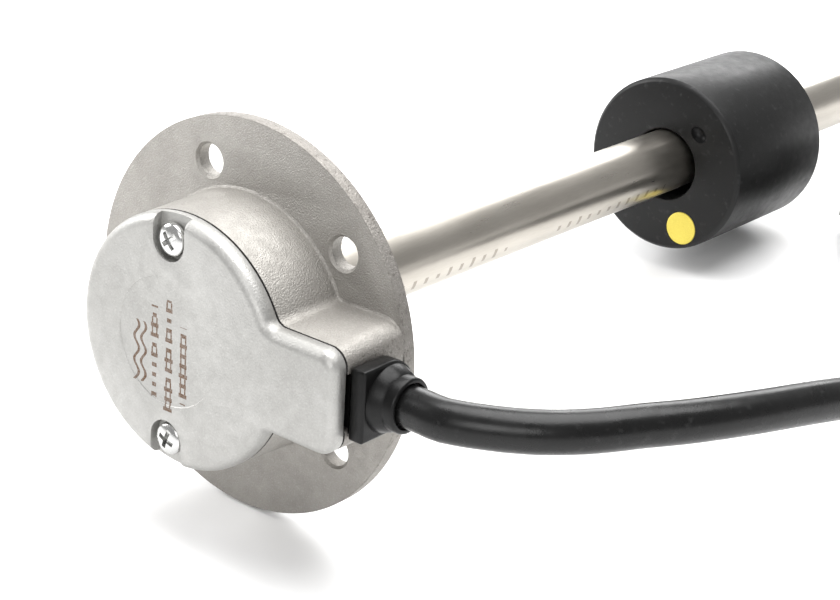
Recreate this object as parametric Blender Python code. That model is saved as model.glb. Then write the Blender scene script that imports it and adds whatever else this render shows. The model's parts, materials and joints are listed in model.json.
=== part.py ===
"""Float-type tank level sender, lying on a bench with its lead coiled beside it.

The sender's own pieces are built straight, in the frame of the empty "sender_frame":
+Y runs down the stem from the flange's seal face, +X points along the cable spout.
The empty then leans the sender over, so that it rests on its flange rim and its float stop.
The lead and its plug are built in world coordinates. Lengths are in metres.
"""
import math

import bmesh
import bpy
from mathutils import Vector

MM = 0.001

# Clearances
GAP = 0.3 * MM
SEAM = 0.2 * MM
BITE = 1.0 * MM
FLOAT_PLAY = 1.2 * MM
BOSS_ROOM = 1.2 * MM
PILLAR_MARGIN = 2.4 * MM
STRIP_MARGIN = 1.5 * MM
RUBBER_WALL = 1.1 * MM
HOLE_MARGIN = 7.5 * MM
CUP_MARGIN = 12.7 * MM
SCREW_MARGIN = 4.3 * MM
SOCKET_WALL = 2.5 * MM
FLOAT_WALL = 1.3 * MM
MAGNET_SHELL = 4.5 * MM
DOT_MARGIN = 0.9 * MM
HEAD_ROOM = 0.75 * MM
BOARD_ROOM = 0.5 * MM
CLIP_WALL = 1.7 * MM

# Flange and housing casting
FLANGE_RADIUS = 34.5 * MM
FLANGE_THICKNESS = 2.7 * MM
FLANGE_CHAMFER = 0.25 * MM
HOLE_RADIUS = 2.75 * MM
HOLE_CHAMFER = 0.45 * MM
HOLE_ANGLES = (40.0, 110.0, 180.0, 250.0, 320.0)
SOCKET_HEIGHT = 2.5 * MM
CUP_DRAFT = 0.5 * MM
FOOT_FILLET = 0.5 * MM
CUP_WALL = 2.6 * MM
CUP_FLOOR = 0.2 * MM
SPOUT_CORNER = 3.2 * MM
SPOUT_WALL = 2.7 * MM
SPOUT_SETBACK = 0.4 * MM
NECK_FILLET = 2.4 * MM

# Cover, its gasket and its screws
COVER_THICKNESS = 3.2 * MM
COVER_ROUND = 2.0 * MM
GASKET_THICKNESS = 0.8 * MM
GASKET_WIDTH = 1.2 * MM
SCREW_OFFSET = -1.5 * MM
SCREW_RADIUS = 1.25 * MM
SCREW_LENGTH = 9.0 * MM
SCREW_HEAD_RADIUS = 2.75 * MM
SCREW_HEAD_HEIGHT = 1.7 * MM
POCKET_DEPTH = 1.9 * MM
BOSS_RADIUS = 3.1 * MM

# Cable grommet, which drops into the slot in the spout's end
LID_MARGIN = 0.4 * MM
GROMMET_ROOM = 0.8 * MM
GROMMET_LIP = 1.5 * MM
GROMMET_FLANGE = 1.5 * MM
GROMMET_BLOCK = 2.9 * MM
GROMMET_CONE = 2.4 * MM
COLLAR_LENGTH = 1.9 * MM
COLLAR_RECESS = 1.0 * MM

# Stem, its end plug and its float stop
STEM_RADIUS = 6.5 * MM
STEM_WALL = 1.0 * MM
STEM_LENGTH = 300.0 * MM
STEM_INSERT = 3.0 * MM
PLUG_CAP = 1.2 * MM
PLUG_DEPTH = 8.0 * MM
STOP_FROM_END = 7.0 * MM
STOP_THICKNESS = 1.2 * MM
CLIP_THICKNESS = 1.0 * MM
CLIP_MOUTH = 70.0
CLIP_GROOVE = 0.5 * MM

# Float, its ring magnet and its marker dot
FLOAT_RADIUS = 18.5 * MM
FLOAT_LENGTH = 34.4 * MM
FLOAT_CHAMFER = 0.8 * MM
FLOAT_START = 124.4 * MM
MAGNET_LENGTH = 6.0 * MM
DOT_SHARE = 3.5 / 10.8
DOT_THICKNESS = 0.5 * MM
DOT_PROUD = 0.08 * MM
DOT_ANGLE = -65.0

# Boards, reed switches and inner conductors
BOARD_THICKNESS = 1.6 * MM
PILLAR_RADIUS = 1.5 * MM
PILLAR_ANGLES = (60.0, 180.0, 300.0)
STRIP_THICKNESS = 1.0 * MM
STRIP_END_ROOM = 4.0 * MM
TERMINAL_HEIGHT = 2.0 * MM
REED_COUNT = 13
REED_PITCH = 21.0 * MM
REED_FIRST = 22.0 * MM
REED_RADIUS = 1.0 * MM
REED_LENGTH = 12.0 * MM
REED_LEAD_RADIUS = 0.3 * MM
REED_LEAD_LENGTH = 2.5 * MM
CONDUCTOR_RADIUS = 0.55 * MM
CONDUCTOR_COUNT = 5
CONDUCTOR_PITCH = 2.0 * MM
CONDUCTOR_CIRCLE = 1.9 * MM

# Lead, coil and tie, in world coordinates
CABLE_RADIUS = 3.5 * MM
CABLE_STEP = 2.2 * CABLE_RADIUS * 2.0
COIL_CENTRE = (67.0 * MM, 38.9 * MM)
COIL_OUTER_RADIUS = 45.6 * MM
TURN_GAP = 0.1 * MM
COIL_BASE = 1.1 * MM
TIE_THICKNESS = 0.8 * MM
TIE_WIDTH = 6.0 * MM
TIE_ANGLE = 200.0
LEAD_START_LENGTH = 7.4 * MM
LEAD_ROUTE = (
    (0.0559, -0.1449, 0.0348),
    (0.0619, -0.1405, 0.0345),
    (0.0667, -0.1347, 0.0340),
    (0.0706, -0.1283, 0.0335),
    (0.0742, -0.1218, 0.0327),
    (0.0773, -0.1149, 0.0318),
    (0.0798, -0.1079, 0.0307),
    (0.0818, -0.1007, 0.0294),
    (0.0836, -0.0934, 0.0279),
    (0.0853, -0.0860, 0.0260),
    (0.0870, -0.0780, 0.0235),
    (0.0893, -0.0690, 0.0203),
    (0.0922, -0.0590, 0.0165),
    (0.0959, -0.0480, 0.0122),
    (0.0999, -0.0365, 0.0082),
    (0.1037, -0.0250, 0.0056),
    (0.1067, -0.0140, 0.0047),
    (0.1086, -0.0050, 0.0046),
    (0.1091, 0.0020, 0.0046),
    (0.1091, 0.0120, 0.0046),
)
TAIL_ROUTE = (
    (0.1091, 0.0740, 0.0119),
    (0.1091, 0.0790, 0.0118),
    (0.1091, 0.0850, 0.0104),
    (0.1091, 0.0895, 0.0084),
    (0.1091, 0.0935, 0.0075),
    (0.1091, 0.0985, 0.0075),
)

# Five-pin plug on the lead's end
PLUG_BODY_RADIUS = 6.2 * MM
PLUG_BODY_LENGTH = 20.0 * MM
PLUG_RELIEF_LENGTH = 9.0 * MM
RELIEF_WALL = 1.0 * MM
PLUG_NECK_RADIUS = 4.5 * MM
PLUG_NECK_LENGTH = 13.0 * MM
SLEEVE_RADIUS = 7.2 * MM
SLEEVE_GRIP_LENGTH = 9.5 * MM
SLEEVE_THREAD_RADIUS = 5.9 * MM
SLEEVE_THREAD_LENGTH = 7.5 * MM
SLEEVE_RIBS = 24
INSERT_THICKNESS = 2.5 * MM
SHROUD_RADIUS = 4.5 * MM
SHROUD_WALL = 0.55 * MM
SHROUD_LENGTH = 6.5 * MM
PIN_RADIUS = 0.5 * MM
PIN_LENGTH = 6.0 * MM
PIN_CIRCLE = 2.5 * MM
PIN_COUNT = 4

ROUND = 64

# Sizes worked out from the ones above
SOCKET_RADIUS = STEM_RADIUS + SOCKET_WALL
FLOAT_BORE = STEM_RADIUS + FLOAT_PLAY
STOP_RADIUS = FLOAT_BORE + FLOAT_WALL
CLIP_RADIUS = STEM_RADIUS + CLIP_WALL
MAGNET_INNER = FLOAT_BORE + FLOAT_WALL
MAGNET_OUTER = FLOAT_RADIUS - MAGNET_SHELL
DOT_RADIUS = DOT_SHARE * (FLOAT_RADIUS - FLOAT_BORE)
DOT_DISTANCE = FLOAT_RADIUS - DOT_RADIUS - DOT_MARGIN
STRIP_WIDTH = 2.0 * (STEM_RADIUS - STEM_WALL - STRIP_MARGIN)
HOLE_CIRCLE_RADIUS = FLANGE_RADIUS - HOLE_MARGIN
CUP_RADIUS = FLANGE_RADIUS - CUP_MARGIN
POCKET_RADIUS = SCREW_HEAD_RADIUS + HEAD_ROOM
BOARD_LEVEL = FLANGE_THICKNESS + STEM_INSERT + BOARD_ROOM
SCREW_SPREAD = CUP_RADIUS - SCREW_MARGIN
BOARD_RADIUS = SCREW_SPREAD - BOSS_RADIUS - BOSS_ROOM
PILLAR_CIRCLE = BOARD_RADIUS - PILLAR_MARGIN
TERMINAL_FACE = BOARD_RADIUS * 10.5 / 13.2
GROMMET_NECK = CABLE_RADIUS + RUBBER_WALL
COLLAR_RADIUS = CABLE_RADIUS + RUBBER_WALL
GROMMET_HALF_WIDTH = GROMMET_NECK + GROMMET_LIP
GROMMET_DROP = GROMMET_HALF_WIDTH + LID_MARGIN
CUP_HEIGHT = FLANGE_THICKNESS + GROMMET_DROP + GROMMET_HALF_WIDTH + GROMMET_ROOM
SPOUT_HALF_WIDTH = GROMMET_HALF_WIDTH + SPOUT_WALL
SPOUT_REACH = FLANGE_RADIUS - SPOUT_SETBACK
PLUG_RELIEF_RADIUS = CABLE_RADIUS + RELIEF_WALL
COIL_HALF_WIDTH = CABLE_RADIUS * 2.0 + TURN_GAP
COIL_MID_RADIUS = COIL_OUTER_RADIUS - COIL_HALF_WIDTH
RIM_LEVEL = -CUP_HEIGHT
COVER_LEVEL = RIM_LEVEL - SEAM
COVER_TOP = COVER_LEVEL - COVER_THICKNESS
POCKET_LEVEL = COVER_TOP + POCKET_DEPTH
STOP_LEVEL = STEM_LENGTH - STOP_FROM_END
STEM_END = STEM_LENGTH - PLUG_CAP - GAP
FLOAT_SAG = FLOAT_BORE - STEM_RADIUS - GAP
GROMMET_AXIS = RIM_LEVEL + GROMMET_DROP
SPOUT_WALL_INNER = SPOUT_REACH - CUP_WALL
FLOOR_LEVEL = -FLANGE_THICKNESS + CUP_FLOOR
COLLAR_END = SPOUT_REACH + GAP + GROMMET_BLOCK + GROMMET_CONE + COLLAR_LENGTH
LEAN = math.atan2(FLANGE_RADIUS - STOP_RADIUS, STOP_LEVEL + STOP_THICKNESS)


# Materials

def finish(name, colour, roughness, metallic):
    """A Principled material with one colour, roughness and metallic value."""
    material = bpy.data.materials.new(name)
    material.use_nodes = True
    shader = material.node_tree.nodes["Principled BSDF"]
    shader.inputs["Base Color"].default_value = (*colour, 1.0)
    shader.inputs["Roughness"].default_value = roughness
    shader.inputs["Metallic"].default_value = metallic
    return material


def make_finishes():
    """Every finish of the sender, by name."""
    return {
        "cast_steel": finish("cast_steel", (0.58, 0.57, 0.55), 0.42, 1.0),
        "brushed_steel": finish("brushed_steel", (0.66, 0.65, 0.62), 0.32, 1.0),
        "stem_steel": finish("stem_steel", (0.70, 0.68, 0.64), 0.18, 1.0),
        "screw_steel": finish("screw_steel", (0.75, 0.75, 0.75), 0.15, 1.0),
        "black_rubber": finish("black_rubber", (0.02, 0.02, 0.02), 0.45, 0.0),
        "cable_black": finish("cable_black", (0.015, 0.015, 0.016), 0.32, 0.0),
        "float_black": finish("float_black", (0.022, 0.022, 0.022), 0.38, 0.0),
        "marker_yellow": finish("marker_yellow", (0.85, 0.68, 0.10), 0.55, 0.0),
        "magnet_grey": finish("magnet_grey", (0.10, 0.10, 0.11), 0.5, 0.3),
        "board_green": finish("board_green", (0.02, 0.16, 0.07), 0.4, 0.0),
        "chip_black": finish("chip_black", (0.03, 0.03, 0.03), 0.5, 0.0),
        "reed_glass": finish("reed_glass", (0.30, 0.42, 0.30), 0.1, 0.0),
        "copper_core": finish("copper_core", (0.70, 0.12, 0.08), 0.5, 0.0),
        "nickel_plate": finish("nickel_plate", (0.72, 0.70, 0.66), 0.25, 1.0),
        "gold_plate": finish("gold_plate", (0.85, 0.62, 0.25), 0.25, 1.0),
    }


# Outlines and solids

def keyhole_outline(inset, grow=0.0):
    """Outline of the round housing with its spout, set in from the full outline.

    The round body, the spout's corners and the fillets between them are arcs.
    """
    radius = CUP_RADIUS - inset + grow
    width = SPOUT_HALF_WIDTH - inset + grow
    reach = SPOUT_REACH - inset
    corner = SPOUT_CORNER - inset + grow
    fillet = NECK_FILLET + inset - grow
    centre_x = math.sqrt((radius + fillet) ** 2 - (width + fillet) ** 2)
    touch = math.atan2(width + fillet, centre_x)
    points = []

    def arc(x, z, r, start, end, steps):
        for step in range(steps + 1):
            angle = start + (end - start) * step / steps
            points.append((x + r * math.cos(angle), z + r * math.sin(angle)))

    quarter = math.pi / 2.0
    arc(reach - corner, -width + corner, corner, -quarter, 0.0, 5)
    arc(reach - corner, width - corner, corner, 0.0, quarter, 5)
    arc(centre_x, width + fillet, fillet, -quarter, touch - math.pi, 4)
    arc(0.0, 0.0, radius, touch + 0.07, math.tau - touch - 0.07, 44)
    arc(centre_x, -width - fillet, fillet, math.pi - touch, quarter, 4)
    return points


def solid_object(name, mesh_builder, material, parent=None, smooth_angle=35.0):
    """Make a named object from a bmesh builder, shaded smooth up to a crease angle."""
    mesh = bpy.data.meshes.new(name)
    shape = bmesh.new()
    mesh_builder(shape)
    bmesh.ops.recalc_face_normals(shape, faces=shape.faces)
    shape.to_mesh(mesh)
    shape.free()
    mesh.shade_smooth()
    mesh.set_sharp_from_angle(angle=math.radians(smooth_angle))
    thing = bpy.data.objects.new(name, mesh)
    bpy.context.collection.objects.link(thing)
    if material is not None:
        mesh.materials.append(material)
    thing.parent = parent
    return thing


def loft(sections):
    """A builder that skins a stack of rings with equal point counts and caps both ends."""
    def build(shape):
        rings = [[shape.verts.new(point) for point in section] for section in sections]
        for lower, upper in zip(rings, rings[1:]):
            count = len(lower)
            for index in range(count):
                after = (index + 1) % count
                shape.faces.new((lower[index], lower[after], upper[after], upper[index]))
        shape.faces.new(rings[0])
        shape.faces.new(rings[-1])
    return build


def slab_sections(outlines):
    """Rings at set heights along Y, from (outline, level) pairs in the X-Z plane."""
    return [[(x, level, z) for x, z in outline] for outline, level in outlines]


def turned(profile, segments=ROUND, centre=(0.0, 0.0), closed=True):
    """A builder that turns a closed (radius, level) profile about Y through (x, z) centre."""
    def build(shape):
        points = [shape.verts.new((radius, level, 0.0)) for radius, level in profile]
        edges = [shape.edges.new(pair) for pair in zip(points, points[1:])]
        if closed:
            edges.append(shape.edges.new((points[-1], points[0])))
        bmesh.ops.spin(shape, geom=points + edges, cent=(0, 0, 0), axis=(0, 1, 0),
                       angle=math.tau, steps=segments, use_merge=True)
        bmesh.ops.remove_doubles(shape, verts=shape.verts, dist=1e-7)
        bmesh.ops.translate(shape, verts=shape.verts, vec=(centre[0], 0.0, centre[1]))
    return build


def rod(radius, start, end, segments=ROUND, centre=(0.0, 0.0)):
    """A plain round rod along Y."""
    profile = [(0.0, start), (radius, start), (radius, end), (0.0, end)]
    return turned(profile, segments, centre, closed=False)


def pipe(inner, outer, start, end, segments=ROUND):
    """A plain round tube along Y."""
    return turned([(inner, start), (outer, start), (outer, end), (inner, end)], segments)


def block(low, high):
    """A box between two corners."""
    def build(shape):
        bmesh.ops.create_cube(shape, size=1.0)
        for vert in shape.verts:
            for axis in range(3):
                vert.co[axis] = high[axis] if vert.co[axis] > 0.0 else low[axis]
    return build


def cut(target, mesh_builder, operation="DIFFERENCE"):
    """Subtract a built shape from the target, or join it to the target."""
    tool = solid_object(f"{target.name}_tool_{len(target.modifiers)}", mesh_builder, None, target.parent)
    tool.hide_render = True
    tool.display_type = "WIRE"
    modifier = target.modifiers.new("shape", "BOOLEAN")
    modifier.operation = operation
    modifier.solver = "EXACT"
    modifier.object = tool
    return tool


def on_circle(radius, degrees, offset=(0.0, 0.0)):
    """A point on a circle in the X-Z plane."""
    angle = math.radians(degrees)
    return (offset[0] + radius * math.cos(angle), offset[1] + radius * math.sin(angle))


# Housing, cover and gasket

def make_housing(parent, finishes):
    """The casting: flange disc, cup and spout in one piece, hollow under the cover."""
    chamfer = FLANGE_CHAMFER
    bore = STEM_RADIUS + GAP
    disc = [
        (bore, -FLANGE_THICKNESS), (bore, SOCKET_HEIGHT), (SOCKET_RADIUS - chamfer, SOCKET_HEIGHT),
        (SOCKET_RADIUS, SOCKET_HEIGHT - chamfer), (SOCKET_RADIUS, 0.0), (FLANGE_RADIUS, 0.0),
        (FLANGE_RADIUS, -FLANGE_THICKNESS + chamfer), (FLANGE_RADIUS - chamfer, -FLANGE_THICKNESS),
    ]
    housing = solid_object("flange_housing", turned(disc, 96), finishes["cast_steel"], parent)
    foot = -FLANGE_THICKNESS
    wall = slab_sections([
        (keyhole_outline(0.0, CUP_DRAFT), foot + BITE),
        (keyhole_outline(0.0, CUP_DRAFT + FOOT_FILLET), foot + 0.02 * MM),
        (keyhole_outline(0.0, CUP_DRAFT + FOOT_FILLET * 0.3), foot - FOOT_FILLET * 0.3),
        (keyhole_outline(0.0, CUP_DRAFT), foot - FOOT_FILLET),
        (keyhole_outline(0.0), RIM_LEVEL),
    ])
    cut(housing, loft(wall), "UNION")
    hollow = slab_sections([
        (keyhole_outline(CUP_WALL), FLOOR_LEVEL),
        (keyhole_outline(CUP_WALL), RIM_LEVEL - BITE),
    ])
    cut(housing, loft(hollow))
    rabbet = slab_sections([
        (keyhole_outline(CUP_WALL - GASKET_WIDTH - GAP), RIM_LEVEL + GASKET_THICKNESS),
        (keyhole_outline(CUP_WALL - GASKET_WIDTH - GAP), RIM_LEVEL - BITE),
    ])
    cut(housing, loft(rabbet))
    boss_top = RIM_LEVEL + GASKET_THICKNESS + GAP
    for side in (1.0, -1.0):
        spot = (SCREW_OFFSET, side * SCREW_SPREAD)
        cut(housing, rod(BOSS_RADIUS, FLOOR_LEVEL + BITE, boss_top, 24, spot), "UNION")
    for angle in PILLAR_ANGLES:
        spot = on_circle(PILLAR_CIRCLE, angle)
        cut(housing, rod(PILLAR_RADIUS, FLOOR_LEVEL + BITE, -BOARD_LEVEL + GAP, 12, spot), "UNION")
    for side in (1.0, -1.0):
        spot = (SCREW_OFFSET, side * SCREW_SPREAD)
        bottom = POCKET_LEVEL + SCREW_LENGTH + GAP
        cut(housing, rod(SCREW_RADIUS + GAP, bottom, RIM_LEVEL - BITE, 16, spot))
    cut(housing, rod(STEM_RADIUS + GAP, SOCKET_HEIGHT + BITE, -FLANGE_THICKNESS - BITE, 96))
    for angle in HOLE_ANGLES:
        bore = [
            (0.0, BITE), (HOLE_RADIUS, BITE), (HOLE_RADIUS, foot + HOLE_CHAMFER),
            (HOLE_RADIUS + HOLE_CHAMFER + 0.3 * MM, foot - 0.3 * MM), (0.0, foot - 0.3 * MM),
        ]
        cut(housing, turned(bore, 32, on_circle(HOLE_CIRCLE_RADIUS, angle), closed=False))
    slot_half = GROMMET_NECK + GAP
    slot = slab_sections([
        (slot_profile(slot_half), SPOUT_WALL_INNER - BITE * 2.0),
        (slot_profile(slot_half), SPOUT_REACH + BITE),
    ])
    slot = [[(level, y, z) for (y, level, z) in ring] for ring in slot]
    cut(housing, loft(slot))
    weld = housing.modifiers.new("weld", "WELD")
    weld.merge_threshold = 0.01 * MM
    return housing


def slot_profile(half_width):
    """U-shaped slot in the spout's end wall, open towards the cover, as (level, z) points."""
    points = [(RIM_LEVEL - BITE, -half_width)]
    for step in range(13):
        angle = -math.pi / 2.0 + math.pi * step / 12.0
        points.append((GROMMET_AXIS + half_width * math.cos(angle), half_width * math.sin(angle)))
    points.append((RIM_LEVEL - BITE, half_width))
    return points


def make_cover(parent, finishes):
    """The cast cover, with a rounded edge and two screw pockets open at the rim."""
    levels = [(keyhole_outline(0.0), COVER_LEVEL), (keyhole_outline(0.0), COVER_TOP + COVER_ROUND)]
    steps = 5
    for step in range(1, steps + 1):
        angle = math.pi / 2.0 * step / steps
        inset = COVER_ROUND * (1.0 - math.cos(angle))
        levels.append((keyhole_outline(inset), COVER_TOP + COVER_ROUND * (1.0 - math.sin(angle))))
    cover = solid_object("cover", loft(slab_sections(levels)), finishes["brushed_steel"], parent)
    for side in (1.0, -1.0):
        spot = (SCREW_OFFSET, side * SCREW_SPREAD)
        cut(cover, loft(slab_sections([
            (pocket_outline(side), POCKET_LEVEL), (pocket_outline(side), COVER_TOP - BITE)])))
        cut(cover, rod(SCREW_RADIUS + GAP, COVER_LEVEL + BITE, COVER_TOP - BITE, 16, spot))
    return cover


def pocket_outline(side):
    """Round screw pocket that widens towards the rim, as (x, z) points."""
    points = []
    for step in range(17):
        angle = math.pi + math.pi * step / 16.0
        points.append((SCREW_OFFSET + POCKET_RADIUS * math.cos(angle), POCKET_RADIUS * math.sin(angle)))
    reach = CUP_RADIUS + BITE - SCREW_SPREAD
    points.append((SCREW_OFFSET + POCKET_RADIUS * 1.25, reach))
    points.append((SCREW_OFFSET - POCKET_RADIUS * 1.25, reach))
    return [(x, side * (SCREW_SPREAD + z)) for x, z in points]


def make_gasket(parent, finishes):
    """The flat gasket in the rabbet of the housing's rim."""
    def ring(shape):
        outer = keyhole_outline(CUP_WALL - GASKET_WIDTH)
        inner = keyhole_outline(CUP_WALL)
        top = RIM_LEVEL + GASKET_THICKNESS - GAP
        low = COVER_LEVEL + GAP
        loops = []
        for outline, level in ((outer, top), (outer, low), (inner, low), (inner, top)):
            loops.append([shape.verts.new((x, level, z)) for x, z in outline])
        for first, second in zip(loops, loops[1:] + loops[:1]):
            count = len(first)
            for index in range(count):
                after = (index + 1) % count
                shape.faces.new((first[index], first[after], second[after], second[index]))
    return solid_object("cover_gasket", ring, finishes["black_rubber"], parent)


def make_cover_screws(parent, finishes):
    """The two cross-recessed pan screws that hold the cover."""
    for side, name in ((1.0, "cover_screw_upper"), (-1.0, "cover_screw_lower")):
        spot = (SCREW_OFFSET, side * SCREW_SPREAD)
        seat = POCKET_LEVEL - GAP
        top = seat - SCREW_HEAD_HEIGHT
        dome = [(SCREW_HEAD_RADIUS * math.sin(a), top + SCREW_HEAD_HEIGHT * 0.55 * (1.0 - math.cos(a)))
                for a in [math.pi / 2.0 * step / 5.0 for step in range(1, 6)]]
        profile = [(0.0, top)] + dome + [
            (SCREW_HEAD_RADIUS, seat), (SCREW_RADIUS, seat),
            (SCREW_RADIUS, POCKET_LEVEL + SCREW_LENGTH), (0.0, POCKET_LEVEL + SCREW_LENGTH)]
        screw = solid_object(name, turned(profile, 24, spot, closed=False), finishes["screw_steel"], parent)
        arm = 1.55 * MM
        half = 0.32 * MM
        deep = 1.1 * MM
        for wide, tall in ((arm, half), (half, arm)):
            cut(screw, block((spot[0] - wide, top - BITE, spot[1] - tall),
                             (spot[0] + wide, top + deep, spot[1] + tall)))


# Grommet

def grommet_section(x, half_width, lid_side, round_mix):
    """One ring of the grommet: a block with a round flange side, blended into a circle."""
    ring = []
    count = 32
    for index in range(count):
        angle = math.tau * index / count
        across = math.sin(angle)
        along = math.cos(angle)
        square = half_width
        if along < 0.0:
            square = min(half_width / max(abs(across), 1e-6), lid_side / max(abs(along), 1e-6))
        radius = square * (1.0 - round_mix) + half_width * round_mix
        ring.append((x, GROMMET_AXIS + radius * along, radius * across))
    return ring


def make_grommet(parent, finishes):
    """The rubber grommet: inner flange, neck in the slot, outer block, cone and collar."""
    lid_side = GROMMET_DROP - GAP
    tucked = GROMMET_DROP - GASKET_THICKNESS
    wall_in = SPOUT_WALL_INNER - GAP
    wall_out = SPOUT_REACH + GAP
    neck = GROMMET_NECK
    wide = GROMMET_HALF_WIDTH
    inner_start = wall_in - GROMMET_FLANGE
    cone_start = wall_out + GROMMET_BLOCK
    collar_start = cone_start + GROMMET_CONE
    edge = 0.5 * MM
    bore = CABLE_RADIUS + GAP
    sections = [
        grommet_section(inner_start, wide - edge, tucked, 0.0),
        grommet_section(wall_in, wide - edge, tucked, 0.0),
        grommet_section(wall_in, neck, tucked, 0.0),
        grommet_section(wall_out, neck, tucked, 0.0),
        grommet_section(wall_out, wide, lid_side, 0.0),
        grommet_section(cone_start - edge, wide, lid_side, 0.0),
        grommet_section(cone_start, wide - edge, lid_side - edge, 0.15),
        grommet_section(cone_start + GROMMET_CONE * 0.4, wide * 0.86, wide * 0.86, 0.7),
        grommet_section(collar_start, COLLAR_RADIUS + 0.1 * MM, COLLAR_RADIUS, 1.0),
        grommet_section(COLLAR_END - 0.2 * MM, COLLAR_RADIUS, COLLAR_RADIUS, 1.0),
        grommet_section(COLLAR_END, COLLAR_RADIUS - 0.2 * MM, COLLAR_RADIUS, 1.0),
        grommet_section(COLLAR_END, bore, bore, 1.0),
        grommet_section(COLLAR_END - COLLAR_RECESS, bore, bore, 1.0),
    ]
    return solid_object("cable_grommet", loft(sections), finishes["black_rubber"], parent)


# Stem, stop and float

def make_stem(parent, finishes):
    """The stem tube, with the groove for the stop's clip, and the plug that closes its end."""
    inner = STEM_RADIUS - STEM_WALL
    groove = STOP_LEVEL + STOP_THICKNESS + GAP
    tube = [
        (inner, -FLANGE_THICKNESS - STEM_INSERT), (STEM_RADIUS, -FLANGE_THICKNESS - STEM_INSERT),
        (STEM_RADIUS, groove), (STEM_RADIUS - CLIP_GROOVE, groove),
        (STEM_RADIUS - CLIP_GROOVE, groove + CLIP_THICKNESS + GAP), (STEM_RADIUS, groove + CLIP_THICKNESS + GAP),
        (STEM_RADIUS, STEM_END), (inner, STEM_END),
    ]
    solid_object("stem_tube", turned(tube), finishes["stem_steel"], parent)
    step = inner - GAP
    plug = [
        (0.0, STEM_END - PLUG_DEPTH), (step, STEM_END - PLUG_DEPTH), (step, STEM_END + GAP),
        (STEM_RADIUS, STEM_END + GAP), (STEM_RADIUS, STEM_LENGTH - FLANGE_CHAMFER),
        (STEM_RADIUS - FLANGE_CHAMFER, STEM_LENGTH), (0.0, STEM_LENGTH),
    ]
    solid_object("stem_end_plug", turned(plug, closed=False), finishes["stem_steel"], parent)


def make_stop(parent, finishes):
    """The washer that stops the float, and the open clip that holds the washer."""
    washer = pipe(STEM_RADIUS + GAP, STOP_RADIUS, STOP_LEVEL, STOP_LEVEL + STOP_THICKNESS, 48)
    solid_object("float_stop_washer", washer, finishes["stem_steel"], parent)
    inner = STEM_RADIUS - CLIP_GROOVE + GAP * 0.6
    start = STOP_LEVEL + STOP_THICKNESS + GAP * 1.5
    steps = 28
    sections = []
    half_mouth = math.radians(CLIP_MOUTH) / 2.0
    for step in range(steps + 1):
        angle = half_mouth + (math.tau - 2.0 * half_mouth) * step / steps
        direction = (math.cos(angle), math.sin(angle))
        corners = ((inner, start), (CLIP_RADIUS, start),
                   (CLIP_RADIUS, start + CLIP_THICKNESS - GAP), (inner, start + CLIP_THICKNESS - GAP))
        sections.append([(direction[0] * r, level, direction[1] * r) for r, level in corners])
    solid_object("float_stop_clip", loft(sections), finishes["screw_steel"], parent)


def make_float(parent, finishes):
    """The float with its hidden ring magnet and its marker dot, hanging on the stem."""
    hanger = bpy.data.objects.new("float_axis", None)
    bpy.context.collection.objects.link(hanger)
    hanger.parent = parent
    hanger.location = (0.0, FLOAT_START, -FLOAT_SAG)
    middle = FLOAT_LENGTH / 2.0
    half = MAGNET_LENGTH / 2.0
    edge = FLOAT_CHAMFER
    shell = [
        (FLOAT_BORE, 0.0), (FLOAT_RADIUS - edge, 0.0), (FLOAT_RADIUS, edge),
        (FLOAT_RADIUS, FLOAT_LENGTH - edge), (FLOAT_RADIUS - edge, FLOAT_LENGTH), (FLOAT_BORE, FLOAT_LENGTH),
        (FLOAT_BORE, middle + half + GAP), (MAGNET_OUTER + GAP, middle + half + GAP),
        (MAGNET_OUTER + GAP, middle - half - GAP), (FLOAT_BORE, middle - half - GAP),
    ]
    body = solid_object("float_body", turned(shell, 72), finishes["float_black"], hanger)
    spot = on_circle(DOT_DISTANCE, DOT_ANGLE)
    cut(body, rod(DOT_RADIUS + GAP / 2.0, -BITE, DOT_THICKNESS - DOT_PROUD + GAP, 28, spot))
    magnet = pipe(MAGNET_INNER, MAGNET_OUTER, middle - half, middle + half, 40)
    solid_object("float_magnet", magnet, finishes["magnet_grey"], hanger)
    dot = rod(DOT_RADIUS, -DOT_PROUD, DOT_THICKNESS - DOT_PROUD, 28, spot)
    solid_object("float_marker_dot", dot, finishes["marker_yellow"], hanger)
    return hanger


# Electronics

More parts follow.
